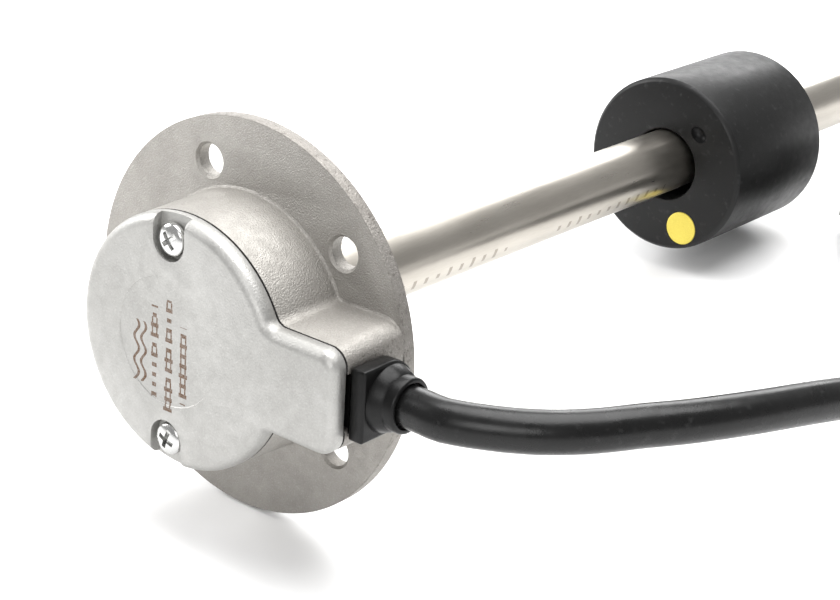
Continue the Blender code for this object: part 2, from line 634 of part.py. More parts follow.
def make_boards(parent, finishes):
    """The round main board with its parts, and the reed strip that runs down the stem."""
    face = -BOARD_LEVEL - BOARD_THICKNESS
    board = rod(BOARD_RADIUS, face, -BOARD_LEVEL, 40)
    solid_object("main_board", board, finishes["board_green"], parent)
    lift = face - GAP
    share = TERMINAL_FACE / 10.5
    parts = (
        ("controller_chip", 1.0 * MM, (-6.5, -3.5), (-0.5, 3.5)),
        ("supply_chip", 1.6 * MM, (-6.0, 6.0), (-1.5, 9.5)),
        ("lead_terminal", TERMINAL_HEIGHT, (6.0, -5.4), (10.5, 5.4)),
    )
    for name, height, low, high in parts:
        low_corner = (low[0] * share, lift - height, low[1] * share)
        high_corner = (high[0] * share, lift, high[1] * share)
        solid_object(name, block(low_corner, high_corner), finishes["chip_black"], parent)
    half = STRIP_WIDTH / 2.0
    strip_end = STEM_END - PLUG_DEPTH - STRIP_END_ROOM
    strip = block((-half, -BOARD_LEVEL + GAP * 2.0, -STRIP_THICKNESS / 2.0), (half, strip_end, STRIP_THICKNESS / 2.0))
    solid_object("reed_strip", strip, finishes["board_green"], parent)
    height = STRIP_THICKNESS / 2.0 + GAP + REED_RADIUS
    pitch = min(REED_PITCH, (strip_end - REED_FIRST - REED_LENGTH) / (REED_COUNT - 1))
    for index in range(REED_COUNT):
        start = REED_FIRST + pitch * index
        neck = 0.8 * MM
        profile = [
            (0.0, start - REED_LEAD_LENGTH), (REED_LEAD_RADIUS, start - REED_LEAD_LENGTH),
            (REED_LEAD_RADIUS, start), (REED_RADIUS, start + neck),
            (REED_RADIUS, start + REED_LENGTH - neck), (REED_LEAD_RADIUS, start + REED_LENGTH),
            (REED_LEAD_RADIUS, start + REED_LENGTH + REED_LEAD_LENGTH),
            (0.0, start + REED_LENGTH + REED_LEAD_LENGTH),
        ]
        reed = turned(profile, 10, (0.0, height), closed=False)
        solid_object(f"reed_switch_{index + 1:02d}", reed, finishes["reed_glass"], parent)


def tube_curve(name, points, radius, material, parent=None, resolution=2):
    """A round cord along a smooth line of points, as a bevelled curve with filled caps."""
    data = bpy.data.curves.new(name, "CURVE")
    data.dimensions = "3D"
    data.bevel_depth = radius
    data.bevel_resolution = resolution
    data.use_fill_caps = True
    spline = data.splines.new("POLY")
    spline.points.add(len(points) - 1)
    for point, place in zip(spline.points, points):
        point.co = (*place, 1.0)
    data.materials.append(material)
    cord = bpy.data.objects.new(name, data)
    bpy.context.collection.objects.link(cord)
    cord.parent = parent
    return cord


def smooth_line(route, step):
    """Points at an even step along the smooth curve through the route's own points."""
    anchors = [Vector(point) for point in route]
    ends = [anchors[0] * 2.0 - anchors[1]] + anchors + [anchors[-1] * 2.0 - anchors[-2]]
    fine = []
    for index in range(1, len(ends) - 2):
        before, start, end, after = ends[index - 1:index + 3]
        for part in range(12):
            t = part / 12.0
            fine.append(0.5 * (2.0 * start + (end - before) * t
                               + (2.0 * before - 5.0 * start + 4.0 * end - after) * t ** 2
                               + (3.0 * start - before - 3.0 * end + after) * t ** 3))
    fine.append(anchors[-1])
    length = sum((b - a).length for a, b in zip(fine, fine[1:]))
    count = max(2, round(length / step))
    spaced = [fine[0]]
    travelled = 0.0
    for a, b in zip(fine, fine[1:]):
        travelled += (b - a).length
        if travelled >= length * len(spaced) / count - 1e-9 and len(spaced) < count:
            spaced.append(b)
    spaced.append(fine[-1])
    return spaced


def make_conductors(parent, finishes):
    """The lead's cores, fanned from the grommet's inner end to the board's terminal."""
    terminal_face = TERMINAL_FACE + GAP
    level = -BOARD_LEVEL - BOARD_THICKNESS - 1.3 * MM
    grommet_face = SPOUT_WALL_INNER - GAP - GROMMET_FLANGE - GAP
    for index in range(CONDUCTOR_COUNT):
        side = (index - (CONDUCTOR_COUNT - 1) / 2.0) * CONDUCTOR_PITCH
        turn = math.radians(90.0 - 180.0 * index / (CONDUCTOR_COUNT - 1))
        target_z = CONDUCTOR_CIRCLE * math.sin(-turn)
        target_y = GROMMET_AXIS + CONDUCTOR_CIRCLE * math.cos(turn)
        route = [(terminal_face, level, side), (terminal_face + 3.0 * MM, level, side)]
        for step in range(1, 6):
            t = step / 6.0
            ease = t * t * (3.0 - 2.0 * t)
            x = terminal_face + 3.0 * MM + (grommet_face - terminal_face - 6.0 * MM) * t
            route.append((x, level + (target_y - level) * ease, side + (target_z - side) * ease))
        route.append((grommet_face - 2.0 * MM, target_y, target_z))
        route.append((grommet_face, target_y, target_z))
        name = f"inner_conductor_{index + 1}"
        tube_curve(name, route, CONDUCTOR_RADIUS, finishes["copper_core"], parent)


# Lead, coil, tie and plug

def make_lead(exit_point, exit_direction, finishes):
    """The loose lead from the grommet to the coil, and the short tail to the plug."""
    start = exit_point + exit_direction * GAP
    second = exit_point + exit_direction * LEAD_START_LENGTH
    lead = [start] + smooth_line([tuple(second)] + list(LEAD_ROUTE), CABLE_STEP)
    tube_curve("cable_lead", lead, CABLE_RADIUS, finishes["cable_black"], None, 3)
    tail = smooth_line(TAIL_ROUTE, CABLE_STEP / 3.0)
    tube_curve("cable_tail", tail, CABLE_RADIUS, finishes["cable_black"], None, 3)


def coil_section():
    """Rounded outline of the coil's cross-section, as (radius, height) points."""
    half = COIL_HALF_WIDTH
    low = COIL_BASE
    high = COIL_BASE + CABLE_RADIUS * 4.0 + 0.2 * MM
    corner = CABLE_RADIUS * 0.9
    points = []
    for centre_r, centre_z, first in (
            (half - corner, low + corner, -90.0), (half - corner, high - corner, 0.0),
            (-half + corner, high - corner, 90.0), (-half + corner, low + corner, 180.0)):
        for step in range(4):
            angle = math.radians(first + 30.0 * step)
            points.append((centre_r + corner * math.cos(angle), centre_z + corner * math.sin(angle)))
    return points


def make_coil(finishes):
    """The outer shape of the coiled lead, with stubs where it enters and leaves."""
    section = coil_section()

    def ring(shape):
        points = [shape.verts.new((COIL_MID_RADIUS + r, 0.0, z)) for r, z in section]
        edges = [shape.edges.new(pair) for pair in zip(points, points[1:] + points[:1])]
        bmesh.ops.spin(shape, geom=points + edges, cent=(0, 0, 0), axis=(0, 0, 1),
                       angle=math.tau, steps=48, use_merge=True)
        bmesh.ops.remove_doubles(shape, verts=shape.verts, dist=1e-7)

    coil = solid_object("cable_coil", ring, finishes["cable_black"])
    coil.location = (COIL_CENTRE[0], COIL_CENTRE[1], 0.0)
    entry = LEAD_ROUTE[-1]
    leave = TAIL_ROUTE[0]
    inside = 12.0 * MM
    for x, z, start, end in (
            (entry[0], entry[2], entry[1] + GAP, COIL_CENTRE[1] - inside),
            (leave[0], leave[2], COIL_CENTRE[1] + inside, leave[1] - GAP)):
        stub = cut(coil, rod(CABLE_RADIUS, start, end, 12, (x, z)), "UNION")
        stub.parent = None
    return coil


def make_tie(finishes):
    """The strap that holds the coil: a closed loop around the coil's cross-section."""
    half = COIL_HALF_WIDTH
    inner = (half + GAP, COIL_BASE - GAP, COIL_BASE + CABLE_RADIUS * 4.0 + 0.2 * MM + GAP)
    wall = TIE_THICKNESS

    def loop(shape):
        outer_loop = rounded_box(inner[0] + wall, inner[1] - wall, inner[2] + wall, CABLE_RADIUS * 0.9 + wall)
        inner_loop = rounded_box(inner[0], inner[1], inner[2], CABLE_RADIUS * 0.9)
        rings = []
        for outline, depth in ((outer_loop, -TIE_WIDTH / 2.0), (outer_loop, TIE_WIDTH / 2.0),
                               (inner_loop, TIE_WIDTH / 2.0), (inner_loop, -TIE_WIDTH / 2.0)):
            rings.append([shape.verts.new((COIL_MID_RADIUS + r, depth, z)) for r, z in outline])
        for first, second in zip(rings, rings[1:] + rings[:1]):
            count = len(first)
            for index in range(count):
                after = (index + 1) % count
                shape.faces.new((first[index], first[after], second[after], second[index]))

    tie = solid_object("coil_tie", loop, finishes["black_rubber"])
    tie.location = (COIL_CENTRE[0], COIL_CENTRE[1], 0.0)
    tie.rotation_euler.z = math.radians(TIE_ANGLE)
    return tie


def rounded_box(half, low, high, corner):
    """A rounded rectangle about r = 0, as (radius, height) points."""
    points = []
    for centre_r, centre_z, first in (
            (half - corner, low + corner, -90.0), (half - corner, high - corner, 0.0),
            (-half + corner, high - corner, 90.0), (-half + corner, low + corner, 180.0)):
        for step in range(4):
            angle = math.radians(first + 30.0 * step)
            points.append((centre_r + corner * math.cos(angle), centre_z + corner * math.sin(angle)))
    return points


def make_plug(finishes):
    """The five-pin plug: moulded body, turning sleeve, insert with its shroud, and pins."""
    end = TAIL_ROUTE[-1]
    axis = bpy.data.objects.new("plug_axis", None)
    bpy.context.collection.objects.link(axis)
    axis.location = end
    bore = CABLE_RADIUS + GAP
    body_start = PLUG_RELIEF_LENGTH
    body_end = body_start + PLUG_BODY_LENGTH
    neck_end = body_end + PLUG_NECK_LENGTH
    inset = 2.0 * MM
    moulding = [
        (0.0, GAP), (bore, GAP), (bore, -inset), (PLUG_RELIEF_RADIUS, -inset),
        (PLUG_RELIEF_RADIUS + 0.3 * MM, body_start * 0.5), (PLUG_BODY_RADIUS - 0.6 * MM, body_start),
        (PLUG_BODY_RADIUS, body_start + 1.0 * MM), (PLUG_BODY_RADIUS, body_end - 0.6 * MM),
        (PLUG_BODY_RADIUS - 0.6 * MM, body_end), (PLUG_NECK_RADIUS, body_end),
        (PLUG_NECK_RADIUS, neck_end), (0.0, neck_end),
    ]
    solid_object("plug_moulding", turned(moulding, 40, closed=False), finishes["black_rubber"], axis)
    make_sleeve(axis, body_end + GAP, finishes)
    face = neck_end + GAP
    shroud = face + INSERT_THICKNESS
    inner = SHROUD_RADIUS - SHROUD_WALL
    insert = [
        (0.0, face), (SHROUD_RADIUS, face), (SHROUD_RADIUS, shroud + SHROUD_LENGTH),
        (inner, shroud + SHROUD_LENGTH), (inner, shroud), (0.0, shroud),
    ]
    carrier = solid_object("plug_insert", turned(insert, 40, closed=False), finishes["chip_black"], axis)
    spots = [(0.0, 0.0)] + [on_circle(PIN_CIRCLE, 45.0 + 360.0 * index / PIN_COUNT) for index in range(PIN_COUNT)]
    seat = shroud - 1.2 * MM
    for index, spot in enumerate(spots):
        cut(carrier, rod(PIN_RADIUS + GAP / 2.0, seat, shroud + BITE, 10, spot))
        start = seat + GAP
        tip = start + PIN_LENGTH
        pin = [(0.0, start), (PIN_RADIUS, start), (PIN_RADIUS, tip - 0.4 * MM), (PIN_RADIUS * 0.4, tip), (0.0, tip)]
        solid_object(f"plug_pin_{index + 1}", turned(pin, 10, spot, closed=False), finishes["gold_plate"], axis)
    return axis


def make_sleeve(axis, start, finishes):
    """The ribbed sleeve that turns on the plug's neck and screws into the socket."""
    hub = bpy.data.objects.new("sleeve_axis", None)
    bpy.context.collection.objects.link(hub)
    hub.parent = axis
    hub.location = (0.0, start, 0.0)
    steps = SLEEVE_RIBS * 2
    inner = PLUG_NECK_RADIUS + GAP

    def section(level, ribbed, radius):
        ring = []
        for index in range(steps):
            angle = math.tau * index / steps
            depth = 0.35 * MM if ribbed and index % 2 else 0.0
            ring.append(((radius - depth) * math.cos(angle), level, (radius - depth) * math.sin(angle)))
        return ring

    grip = SLEEVE_GRIP_LENGTH
    thread_end = grip + SLEEVE_THREAD_LENGTH
    bevel = 0.5 * MM
    rings = [
        section(0.0, False, inner), section(0.0, False, SLEEVE_RADIUS - bevel),
        section(bevel, True, SLEEVE_RADIUS), section(grip - bevel, True, SLEEVE_RADIUS),
        section(grip, False, SLEEVE_RADIUS - bevel), section(grip, False, SLEEVE_THREAD_RADIUS),
        section(thread_end - bevel, False, SLEEVE_THREAD_RADIUS),
        section(thread_end, False, SLEEVE_THREAD_RADIUS - bevel), section(thread_end, False, inner),
    ]

    def build(shape):
        loops = [[shape.verts.new(point) for point in ring] for ring in rings]
        for first, second in zip(loops, loops[1:] + loops[:1]):
            for index in range(steps):
                after = (index + 1) % steps
                shape.faces.new((first[index], first[after], second[after], second[index]))

    return solid_object("plug_sleeve", build, finishes["nickel_plate"], hub, 20.0)


# Placing the sender on the bench

def world_box(objects):
    """Lowest and highest corners of the objects as they evaluate."""
    bpy.context.view_layer.update()
    graph = bpy.context.evaluated_depsgraph_get()
    low = Vector((1e9, 1e9, 1e9))
    high = -low
    for thing in objects:
        evaluated = thing.evaluated_get(graph)
        mesh = evaluated.to_mesh()
        for vert in mesh.vertices:
            place = evaluated.matrix_world @ vert.co
            low = Vector(map(min, low, place))
            high = Vector(map(max, high, place))
        evaluated.to_mesh_clear()
    return low, high


def lay_down(frame):
    """Lean the sender over and put it on the bench, centred on the world origin."""
    frame.rotation_euler.x = -LEAN
    bpy.context.view_layer.update()
    own = [thing for thing in bpy.data.objects
           if thing.type == "MESH" and not thing.hide_render and thing.name != "cable_grommet"]
    low, high = world_box(own)
    frame.location = (-(low.x + high.x) / 2.0, -(low.y + high.y) / 2.0, -low.z)
    bpy.context.view_layer.update()


def clear_scene():
    """Remove every object."""
    for thing in list(bpy.data.objects):
        bpy.data.objects.remove(thing, do_unlink=True)


def main():
    """Build the whole sender."""
    clear_scene()
    finishes = make_finishes()
    frame = bpy.data.objects.new("sender_frame", None)
    bpy.context.collection.objects.link(frame)
    make_housing(frame, finishes)
    make_cover(frame, finishes)
    make_gasket(frame, finishes)
    make_cover_screws(frame, finishes)
    make_grommet(frame, finishes)
    make_stem(frame, finishes)
    make_stop(frame, finishes)
    make_float(frame, finishes)
    make_boards(frame, finishes)
    lay_down(frame)
    make_conductors(frame, finishes)
    exit_point = frame.matrix_world @ Vector((COLLAR_END - COLLAR_RECESS, GROMMET_AXIS, 0.0))
    exit_direction = (frame.matrix_world.to_3x3() @ Vector((1.0, 0.0, 0.0))).normalized()
    make_lead(exit_point, exit_direction, finishes)
    make_coil(finishes)
    make_tie(finishes)
    make_plug(finishes)


main()
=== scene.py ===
"""Looks of a float-type tank level sender that lies on a bench with its lead coiled beside it."""

import json
import logging
import math
from dataclasses import dataclass, field
from enum import Enum
from typing import Callable, Sequence

import bmesh
import bpy
from mathutils import Matrix, Vector


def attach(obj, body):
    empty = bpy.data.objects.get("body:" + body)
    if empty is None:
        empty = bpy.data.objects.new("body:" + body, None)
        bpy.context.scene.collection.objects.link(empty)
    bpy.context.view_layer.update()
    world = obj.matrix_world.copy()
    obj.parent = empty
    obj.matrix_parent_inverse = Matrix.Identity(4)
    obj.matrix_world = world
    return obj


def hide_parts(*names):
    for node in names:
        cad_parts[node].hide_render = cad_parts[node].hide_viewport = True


LOG = logging.getLogger("tank_sender")
MM = 0.001
WELD = 1e-7
# Painted shade: near-black laid on both metal edges at the joint between cup and cover, where shade falls in
# the gap.
SEAM_SHADE_BLACK = (0.03, 0.03, 0.03)
MASK_DARK, MASK_LIGHT = (0.010, 0.09, 0.035), (0.02, 0.14, 0.06)
Piece = bpy.types.Object
Socket = bpy.types.NodeSocket
Point = tuple[float, float, float]
Spot = tuple[float, float]
Outline = Sequence[Spot]
Profile = Sequence[Spot]
Test = Callable[[Vector, Vector], bool]

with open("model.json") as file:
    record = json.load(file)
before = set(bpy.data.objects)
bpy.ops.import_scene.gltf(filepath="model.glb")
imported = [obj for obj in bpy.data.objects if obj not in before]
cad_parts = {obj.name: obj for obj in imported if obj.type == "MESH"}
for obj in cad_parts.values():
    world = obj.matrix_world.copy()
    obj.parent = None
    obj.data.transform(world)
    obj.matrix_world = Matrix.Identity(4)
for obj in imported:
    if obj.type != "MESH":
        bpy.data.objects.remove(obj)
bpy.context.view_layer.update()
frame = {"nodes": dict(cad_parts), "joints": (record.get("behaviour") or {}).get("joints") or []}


class Body(Enum):
    """The rigid bodies that pieces ride on."""

    SENDER = "sender"
    CARRIAGE = "float_carriage"
    FLOAT = "float"
    SLEEVE = "sleeve"


class Combine(Enum):
    """How a second solid changes the first."""

    CARVE = "DIFFERENCE"
    JOIN = "UNION"


# Finishes

class Wiring:
    """Adds and joins the nodes of one material."""

    def __init__(self, name: str) -> None:
        """Start a material.

        Args:
            name: The material's name.
        """
        self.material = bpy.data.materials.new(name)
        self.material.use_nodes = True
        self.tree = self.material.node_tree
        self.shader = self.tree.nodes["Principled BSDF"]
        self.coordinates = self.node("ShaderNodeTexCoord").outputs["Object"]

    def node(self, kind: str, **settings: object) -> bpy.types.Node:
        """Add a node.

        Args:
            kind: The node's type name.
            settings: Attributes to set on it.

        Returns:
            The new node.
        """
        made = self.tree.nodes.new(kind)
        for key, value in settings.items():
            setattr(made, key, value)
        return made

    def feed(self, socket: Socket, source: object) -> None:
        """Link a socket to another socket, or set its value.

        Args:
            socket: The input socket.
            source: An output socket or a plain value.
        """
        if isinstance(source, Socket):
            self.tree.links.new(source, socket)
        else:
            socket.default_value = source

    def math(self, operation: str, *values: object) -> Socket:
        """A math node over sockets or numbers.

        Args:
            operation: Blender's name for the operation.
            values: Its inputs in order.

        Returns:
            The result's socket.
        """
        made = self.node("ShaderNodeMath", operation=operation)
        for index, value in enumerate(values):
            self.feed(made.inputs[index], value)
        return made.outputs[0]

    def times(self, first: object, second: object) -> Socket:
        """The product of two sockets or numbers."""
        return self.math("MULTIPLY", first, second)

    def plus(self, first: object, second: object) -> Socket:
        """The sum of two sockets or numbers."""
        return self.math("ADD", first, second)

    def placed(self, matrix: Matrix, stretch: Point = (1.0, 1.0, 1.0)) -> Socket:
        """Object coordinates seen from a piece's own frame.

        Args:
            matrix: The frame's matrix.
            stretch: Factors on the frame's axes, larger for a finer pattern.

        Returns:
            A vector socket.
        """
        inverse = matrix.inverted()
        turn = self.node("ShaderNodeMapping", vector_type="POINT")
        self.feed(turn.inputs["Vector"], self.coordinates)
        turn.inputs["Location"].default_value = inverse.to_translation()
        turn.inputs["Rotation"].default_value = inverse.to_euler()
        scale = self.node("ShaderNodeMapping", vector_type="POINT")
        self.feed(scale.inputs["Vector"], turn.outputs["Vector"])
        scale.inputs["Scale"].default_value = stretch
        return scale.outputs["Vector"]

    def axes(self, matrix: Matrix) -> bpy.types.Node:
        """Split the coordinates in a piece's own frame.

        Args:
            matrix: The frame's matrix.

        Returns:
            A node with X, Y and Z outputs.
        """
        parts = self.node("ShaderNodeSeparateXYZ")
        self.feed(parts.inputs[0], self.placed(matrix))
        return parts

    def noise(self, size: float, detail: float = 2.0, vector: object = None) -> Socket:
        """Smooth noise with lumps of about one size.

        Args:
            size: The lumps' size in metres.
            detail: How many finer layers it carries.
            vector: Coordinates, or None for Object coordinates.

        Returns:
            A socket from 0 to 1.
        """
        made = self.node("ShaderNodeTexNoise")
        self.feed(made.inputs["Vector"], vector or self.coordinates)
        made.inputs["Scale"].default_value = 1.0 / size
        made.inputs["Detail"].default_value = detail
        return made.outputs["Fac"]

    def spread(self, source: object, low: float, high: float, start: float = 0.3,
               end: float = 0.7) -> Socket:
        """Map a 0 to 1 value onto a range.

        Args:
            source: The value's socket.
            low: Result at start.
            high: Result at end.
            start: Input that gives low.
            end: Input that gives high.

        Returns:
            The result's socket.
        """
        made = self.node("ShaderNodeMapRange", clamp=True)
        self.feed(made.inputs["Value"], source)
        for key, value in (("From Min", start), ("From Max", end), ("To Min", low), ("To Max", high)):
            made.inputs[key].default_value = value
        return made.outputs["Result"]

    def blend(self, factor: object, first: object, second: object) -> Socket:
        """Blend two colours.

        Args:
            factor: 0 gives the first colour and 1 the second.
            first: A colour or colour socket.
            second: A colour or colour socket.

        Returns:
            The blended colour's socket.
        """
        made = self.node("ShaderNodeMix", data_type="RGBA")
        self.feed(made.inputs["Factor"], factor)
        for index, colour in ((6, first), (7, second)):
            value = colour if isinstance(colour, Socket) else (*colour, 1.0)
            self.feed(made.inputs[index], value)
        return made.outputs[2]

    def raise_surface(self, height: object, depth: float, under: object = None) -> Socket:
        """Bump the surface.

        Args:
            height: A 0 to 1 height.
            depth: The height that 1 stands for, in metres.
            under: The normal of a coarser bump, if there is one.

        Returns:
            The normal's socket.
        """
        made = self.node("ShaderNodeBump")
        made.inputs["Distance"].default_value = depth
        self.feed(made.inputs["Height"], height)
        if under is not None:
            self.feed(made.inputs["Normal"], under)
        return made.outputs["Normal"]


@dataclass(frozen=True)
class Finish:
    """A finish with fine grain, broad tone changes and uneven gloss."""

    name: str
    slot: str
    dark: Point
    light: Point
    gloss: tuple[float, float]
    metallic: float = 0.0
    grain: float = 0.25 * MM
    grain_depth: float = 0.015 * MM
    lump: float = 2.0 * MM
    lump_depth: float = 0.02 * MM
    patch: float = 16.0 * MM
    stretch: Point = (1.0, 1.0, 1.0)
    frame: Matrix = field(default_factory=Matrix)
    clear: float = 0.0
    sheen: float = 0.5

    def surface(self, wiring: Wiring) -> Socket:
        """The colour before any markings.

        Args:
            wiring: The material being built.

        Returns:
            The colour's socket.
        """
        along = wiring.placed(self.frame, self.stretch)
        grain = wiring.noise(self.grain, 2.0, along)
        patch = wiring.noise(self.patch, 3.0)
        tone = wiring.plus(wiring.times(grain, 0.35), wiring.times(patch, 0.65))
        return wiring.blend(wiring.spread(tone, 0.0, 1.0), self.dark, self.light)

    def mark(self, wiring: Wiring, colour: object, rough: object) -> tuple[object, object]:
        """Markings on the surface; the plain finish has none.

        Args:
            wiring: The material being built.
            colour: The surface's colour.
            rough: The surface's roughness.

        Returns:
            The colour and the roughness with the markings.
        """
        return colour, rough

    def build(self) -> bpy.types.Material:
        """Make the material.

        Returns:
            The material.
        """
        wiring = Wiring(self.name)
        along = wiring.placed(self.frame, self.stretch)
        grain = wiring.noise(self.grain, 2.0, along)
        lump = wiring.noise(self.lump, 3.0, along)
        rough = wiring.spread(lump, *self.gloss)
        colour, rough = self.mark(wiring, self.surface(wiring), rough)
        wiring.feed(wiring.shader.inputs["Base Color"], colour)
        wiring.feed(wiring.shader.inputs["Roughness"], rough)
        wiring.shader.inputs["Metallic"].default_value = self.metallic
        wiring.shader.inputs["Transmission Weight"].default_value = self.clear
        wiring.shader.inputs["Specular IOR Level"].default_value = self.sheen
        coarse = wiring.raise_surface(lump, self.lump_depth)
        normal = wiring.raise_surface(grain, self.grain_depth, coarse)
        wiring.feed(wiring.shader.inputs["Normal"], normal)
        return wiring.material


@dataclass(frozen=True)
class CastFinish(Finish):
    """Bead-blasted casting with a darker, worn flange rim and painted shade along the seam under the cover.
    """

    rim_radius: float = 34.3 * MM
    seam_level: float = -15.98 * MM
    worn_tint: Point = (0.20, 0.185, 0.17)
    speck_tint: Point = (0.52, 0.50, 0.47)

    def mark(self, wiring: Wiring, colour: object, rough: object) -> tuple[object, object]:
        """Darken the rim's side, speckle the blasted face and paint shade on the cup's edge under the cover.

        Args:
            wiring: The material being built.
            colour: The surface's colour.
            rough: The surface's roughness.

        Returns:
            The colour and the roughness with the markings.
        """
        parts = wiring.axes(self.frame)
        across = wiring.times(parts.outputs["X"], parts.outputs["X"])
        up = wiring.times(parts.outputs["Z"], parts.outputs["Z"])
        radius = wiring.math("SQRT", wiring.plus(across, up))
        rim = wiring.spread(radius, 0.0, 1.0, self.rim_radius - 0.05 * MM, self.rim_radius + 0.15 * MM)
        nicks = wiring.spread(wiring.noise(0.9 * MM, 4.0), 0.0, 1.0, 0.56, 0.66)
        worn = wiring.times(rim, wiring.plus(0.45, wiring.times(nicks, 0.5)))
        tinted = wiring.blend(worn, colour, self.worn_tint)
        specks = wiring.spread(wiring.noise(0.3 * MM, 1.0), 0.0, 0.3, 0.55, 0.72)
        # Painted shade: the cup's top edge at the seam under the cover turns nearly black.
        seam = wiring.math("LESS_THAN", parts.outputs["Y"], self.seam_level)
        speckled = wiring.blend(specks, tinted, self.speck_tint)
        return wiring.blend(wiring.times(seam, 0.9), speckled, SEAM_SHADE_BLACK), rough


@dataclass(frozen=True)
class EngravedFinish(Finish):
    """Satin cover with a plain laser-marked pattern: waves beside columns of level ticks, and painted shade
    along its lower edge at the seam.
    """

    ink: Point = (0.11, 0.05, 0.018)
    centre: float = -2.8 * MM
    column: float = 3.3 * MM
    pitch: float = 1.75 * MM
    wave_rate: float = 1500.0
    wave_swing: float = 0.55 * MM
    face_level: float = -18.0 * MM
    seam_level: float = -16.42 * MM
    speck_tint: Point = (0.60, 0.595, 0.58)

    def strokes(self, wiring: Wiring) -> Socket:
        """Where the laser marked the face.

        Args:
            wiring: The material being built.

        Returns:
            A socket that is 1 on a mark.
        """
        parts = wiring.axes(self.frame)
        across, along = parts.outputs["X"], parts.outputs["Z"]
        swing = wiring.times(wiring.math("SINE", wiring.times(along, self.wave_rate)),
                            self.wave_swing)
        first = self.centre - 1.5 * self.column
        waves = None
        for shift in (-0.85 * MM, 0.75 * MM):
            wave = wiring.plus(swing, first + shift)
            offset = wiring.math("ABSOLUTE", wiring.math("SUBTRACT", across, wave))
            line = wiring.math("LESS_THAN", offset, 0.3 * MM)
            waves = line if waves is None else wiring.math("MAXIMUM", waves, line)
        inside = wiring.math("COMPARE", along, -3.4 * MM, 5.4 * MM)
        marks = wiring.times(waves, inside)
        for index, (low, high) in enumerate(((-10.6, 5.6), (-12.2, 7.4), (-10.0, 3.6))):
            centre = first + self.column * (index + 1)
            row = wiring.math("DIVIDE", along, self.pitch)
            pick = wiring.node("ShaderNodeTexWhiteNoise", noise_dimensions="1D")
            wiring.feed(pick.inputs["W"], wiring.plus(wiring.math("FLOOR", row), 7.3 * index + 2.0))
            reach = wiring.plus(0.45 * MM, wiring.times(pick.outputs["Value"], 0.55 * MM))
            side = wiring.math("ABSOLUTE", wiring.math("SUBTRACT", across, centre))
            tick = wiring.math("LESS_THAN", side, reach)
            dash = wiring.math("LESS_THAN", wiring.math("FRACT", row), 0.42)
            spine_offset = wiring.math("ABSOLUTE", wiring.math("SUBTRACT", side, 0.5 * MM))
            spine = wiring.math("LESS_THAN", spine_offset, 0.16 * MM)
            picked = wiring.math("GREATER_THAN", pick.outputs["Value"], 0.5)
            held = wiring.math("MAXIMUM", wiring.times(tick, dash),
                               wiring.times(spine, picked))
            window = wiring.math("COMPARE", along, (low + high) / 2.0 * MM, (high - low) / 2.0 * MM)
            marks = wiring.math("MAXIMUM", marks, wiring.times(held, window))
        return wiring.times(marks, wiring.math("LESS_THAN", parts.outputs["Y"], self.face_level))

    def mark(self, wiring: Wiring, colour: object, rough: object) -> tuple[object, object]:
        """Lay the laser-marked pattern on the satin face and paint shade along the cover's lower edge at the
        seam.

        Args:
            wiring: The material being built.
            colour: The surface's colour.
            rough: The surface's roughness.

        Returns:
            The colour and the roughness with the markings.
        """
        uneven = wiring.spread(wiring.noise(0.3 * MM, 2.0), 0.55, 0.95)
        burnt = wiring.times(self.strokes(wiring), uneven)
        specks = wiring.spread(wiring.noise(0.35 * MM, 1.0), 0.0, 0.25, 0.58, 0.74)
        speckled = wiring.blend(specks, colour, self.speck_tint)
        parts = wiring.axes(self.frame)
        # Painted shade: the cover's lower edge at the seam over the cup turns nearly black.
        seam = wiring.times(wiring.math("GREATER_THAN", parts.outputs["Y"], self.seam_level), 0.9)
        seam_shaded = wiring.blend(seam, speckled, SEAM_SHADE_BLACK)
        return wiring.blend(burnt, seam_shaded, self.ink), rough


@dataclass(frozen=True)
class TubeFinish(Finish):
    """Ground and polished tube with two faint rows of etched ticks."""

    pitch: float = 3.4 * MM
    row_offset: float = 2.4 * MM
    etch_tint: Point = (0.14, 0.11, 0.08)

    def mark(self, wiring: Wiring, colour: object, rough: object) -> tuple[object, object]:
        """Etch two short rows of ticks on the tube's side.

        Args:
            wiring: The material being built.
            colour: The surface's colour.
            rough: The surface's roughness.

        Returns:
            The colour and the roughness with the markings.
        """
        parts = wiring.axes(self.frame)
        along = wiring.math("DIVIDE", parts.outputs["Y"], self.pitch)
        pick = wiring.node("ShaderNodeTexWhiteNoise", noise_dimensions="1D")
        wiring.feed(pick.inputs["W"], wiring.math("FLOOR", along))
        dash = wiring.math("LESS_THAN", wiring.math("FRACT", along), 0.28)
        reach = wiring.plus(0.4 * MM, wiring.times(pick.outputs["Value"], 0.7 * MM))
        side = wiring.math("ABSOLUTE", wiring.plus(parts.outputs["Z"], self.row_offset))
        band = wiring.math("LESS_THAN", side, reach)
        near = wiring.math("COMPARE", parts.outputs["Y"], 40.0 * MM, 22.0 * MM)
        far = wiring.math("COMPARE", parts.outputs["Y"], 96.0 * MM, 20.0 * MM)
        front = wiring.math("GREATER_THAN", parts.outputs["X"], 0.0)
        etched = wiring.times(wiring.times(dash, band),
                             wiring.times(wiring.math("MAXIMUM", near, far), front))
        faint = wiring.times(etched, 0.6)
        return wiring.blend(faint, colour, self.etch_tint), rough


@dataclass(frozen=True)
class SheathFinish(Finish):
    """Cable sheath, satin with soft wrinkles and light scuffs."""

    scuff: Point = (0.09, 0.09, 0.09)

    def mark(self, wiring: Wiring, colour: object, rough: object) -> tuple[object, object]:
        """Scatter light scuffs over the sheath.

        Args:
            wiring: The material being built.
            colour: The surface's colour.
            rough: The surface's roughness.

        Returns:
            The colour and the roughness with the markings.
        """
        rubbed = wiring.spread(wiring.noise(1.4 * MM, 4.0), 0.0, 0.35, 0.6, 0.75)
        return wiring.blend(rubbed, colour, self.scuff), rough


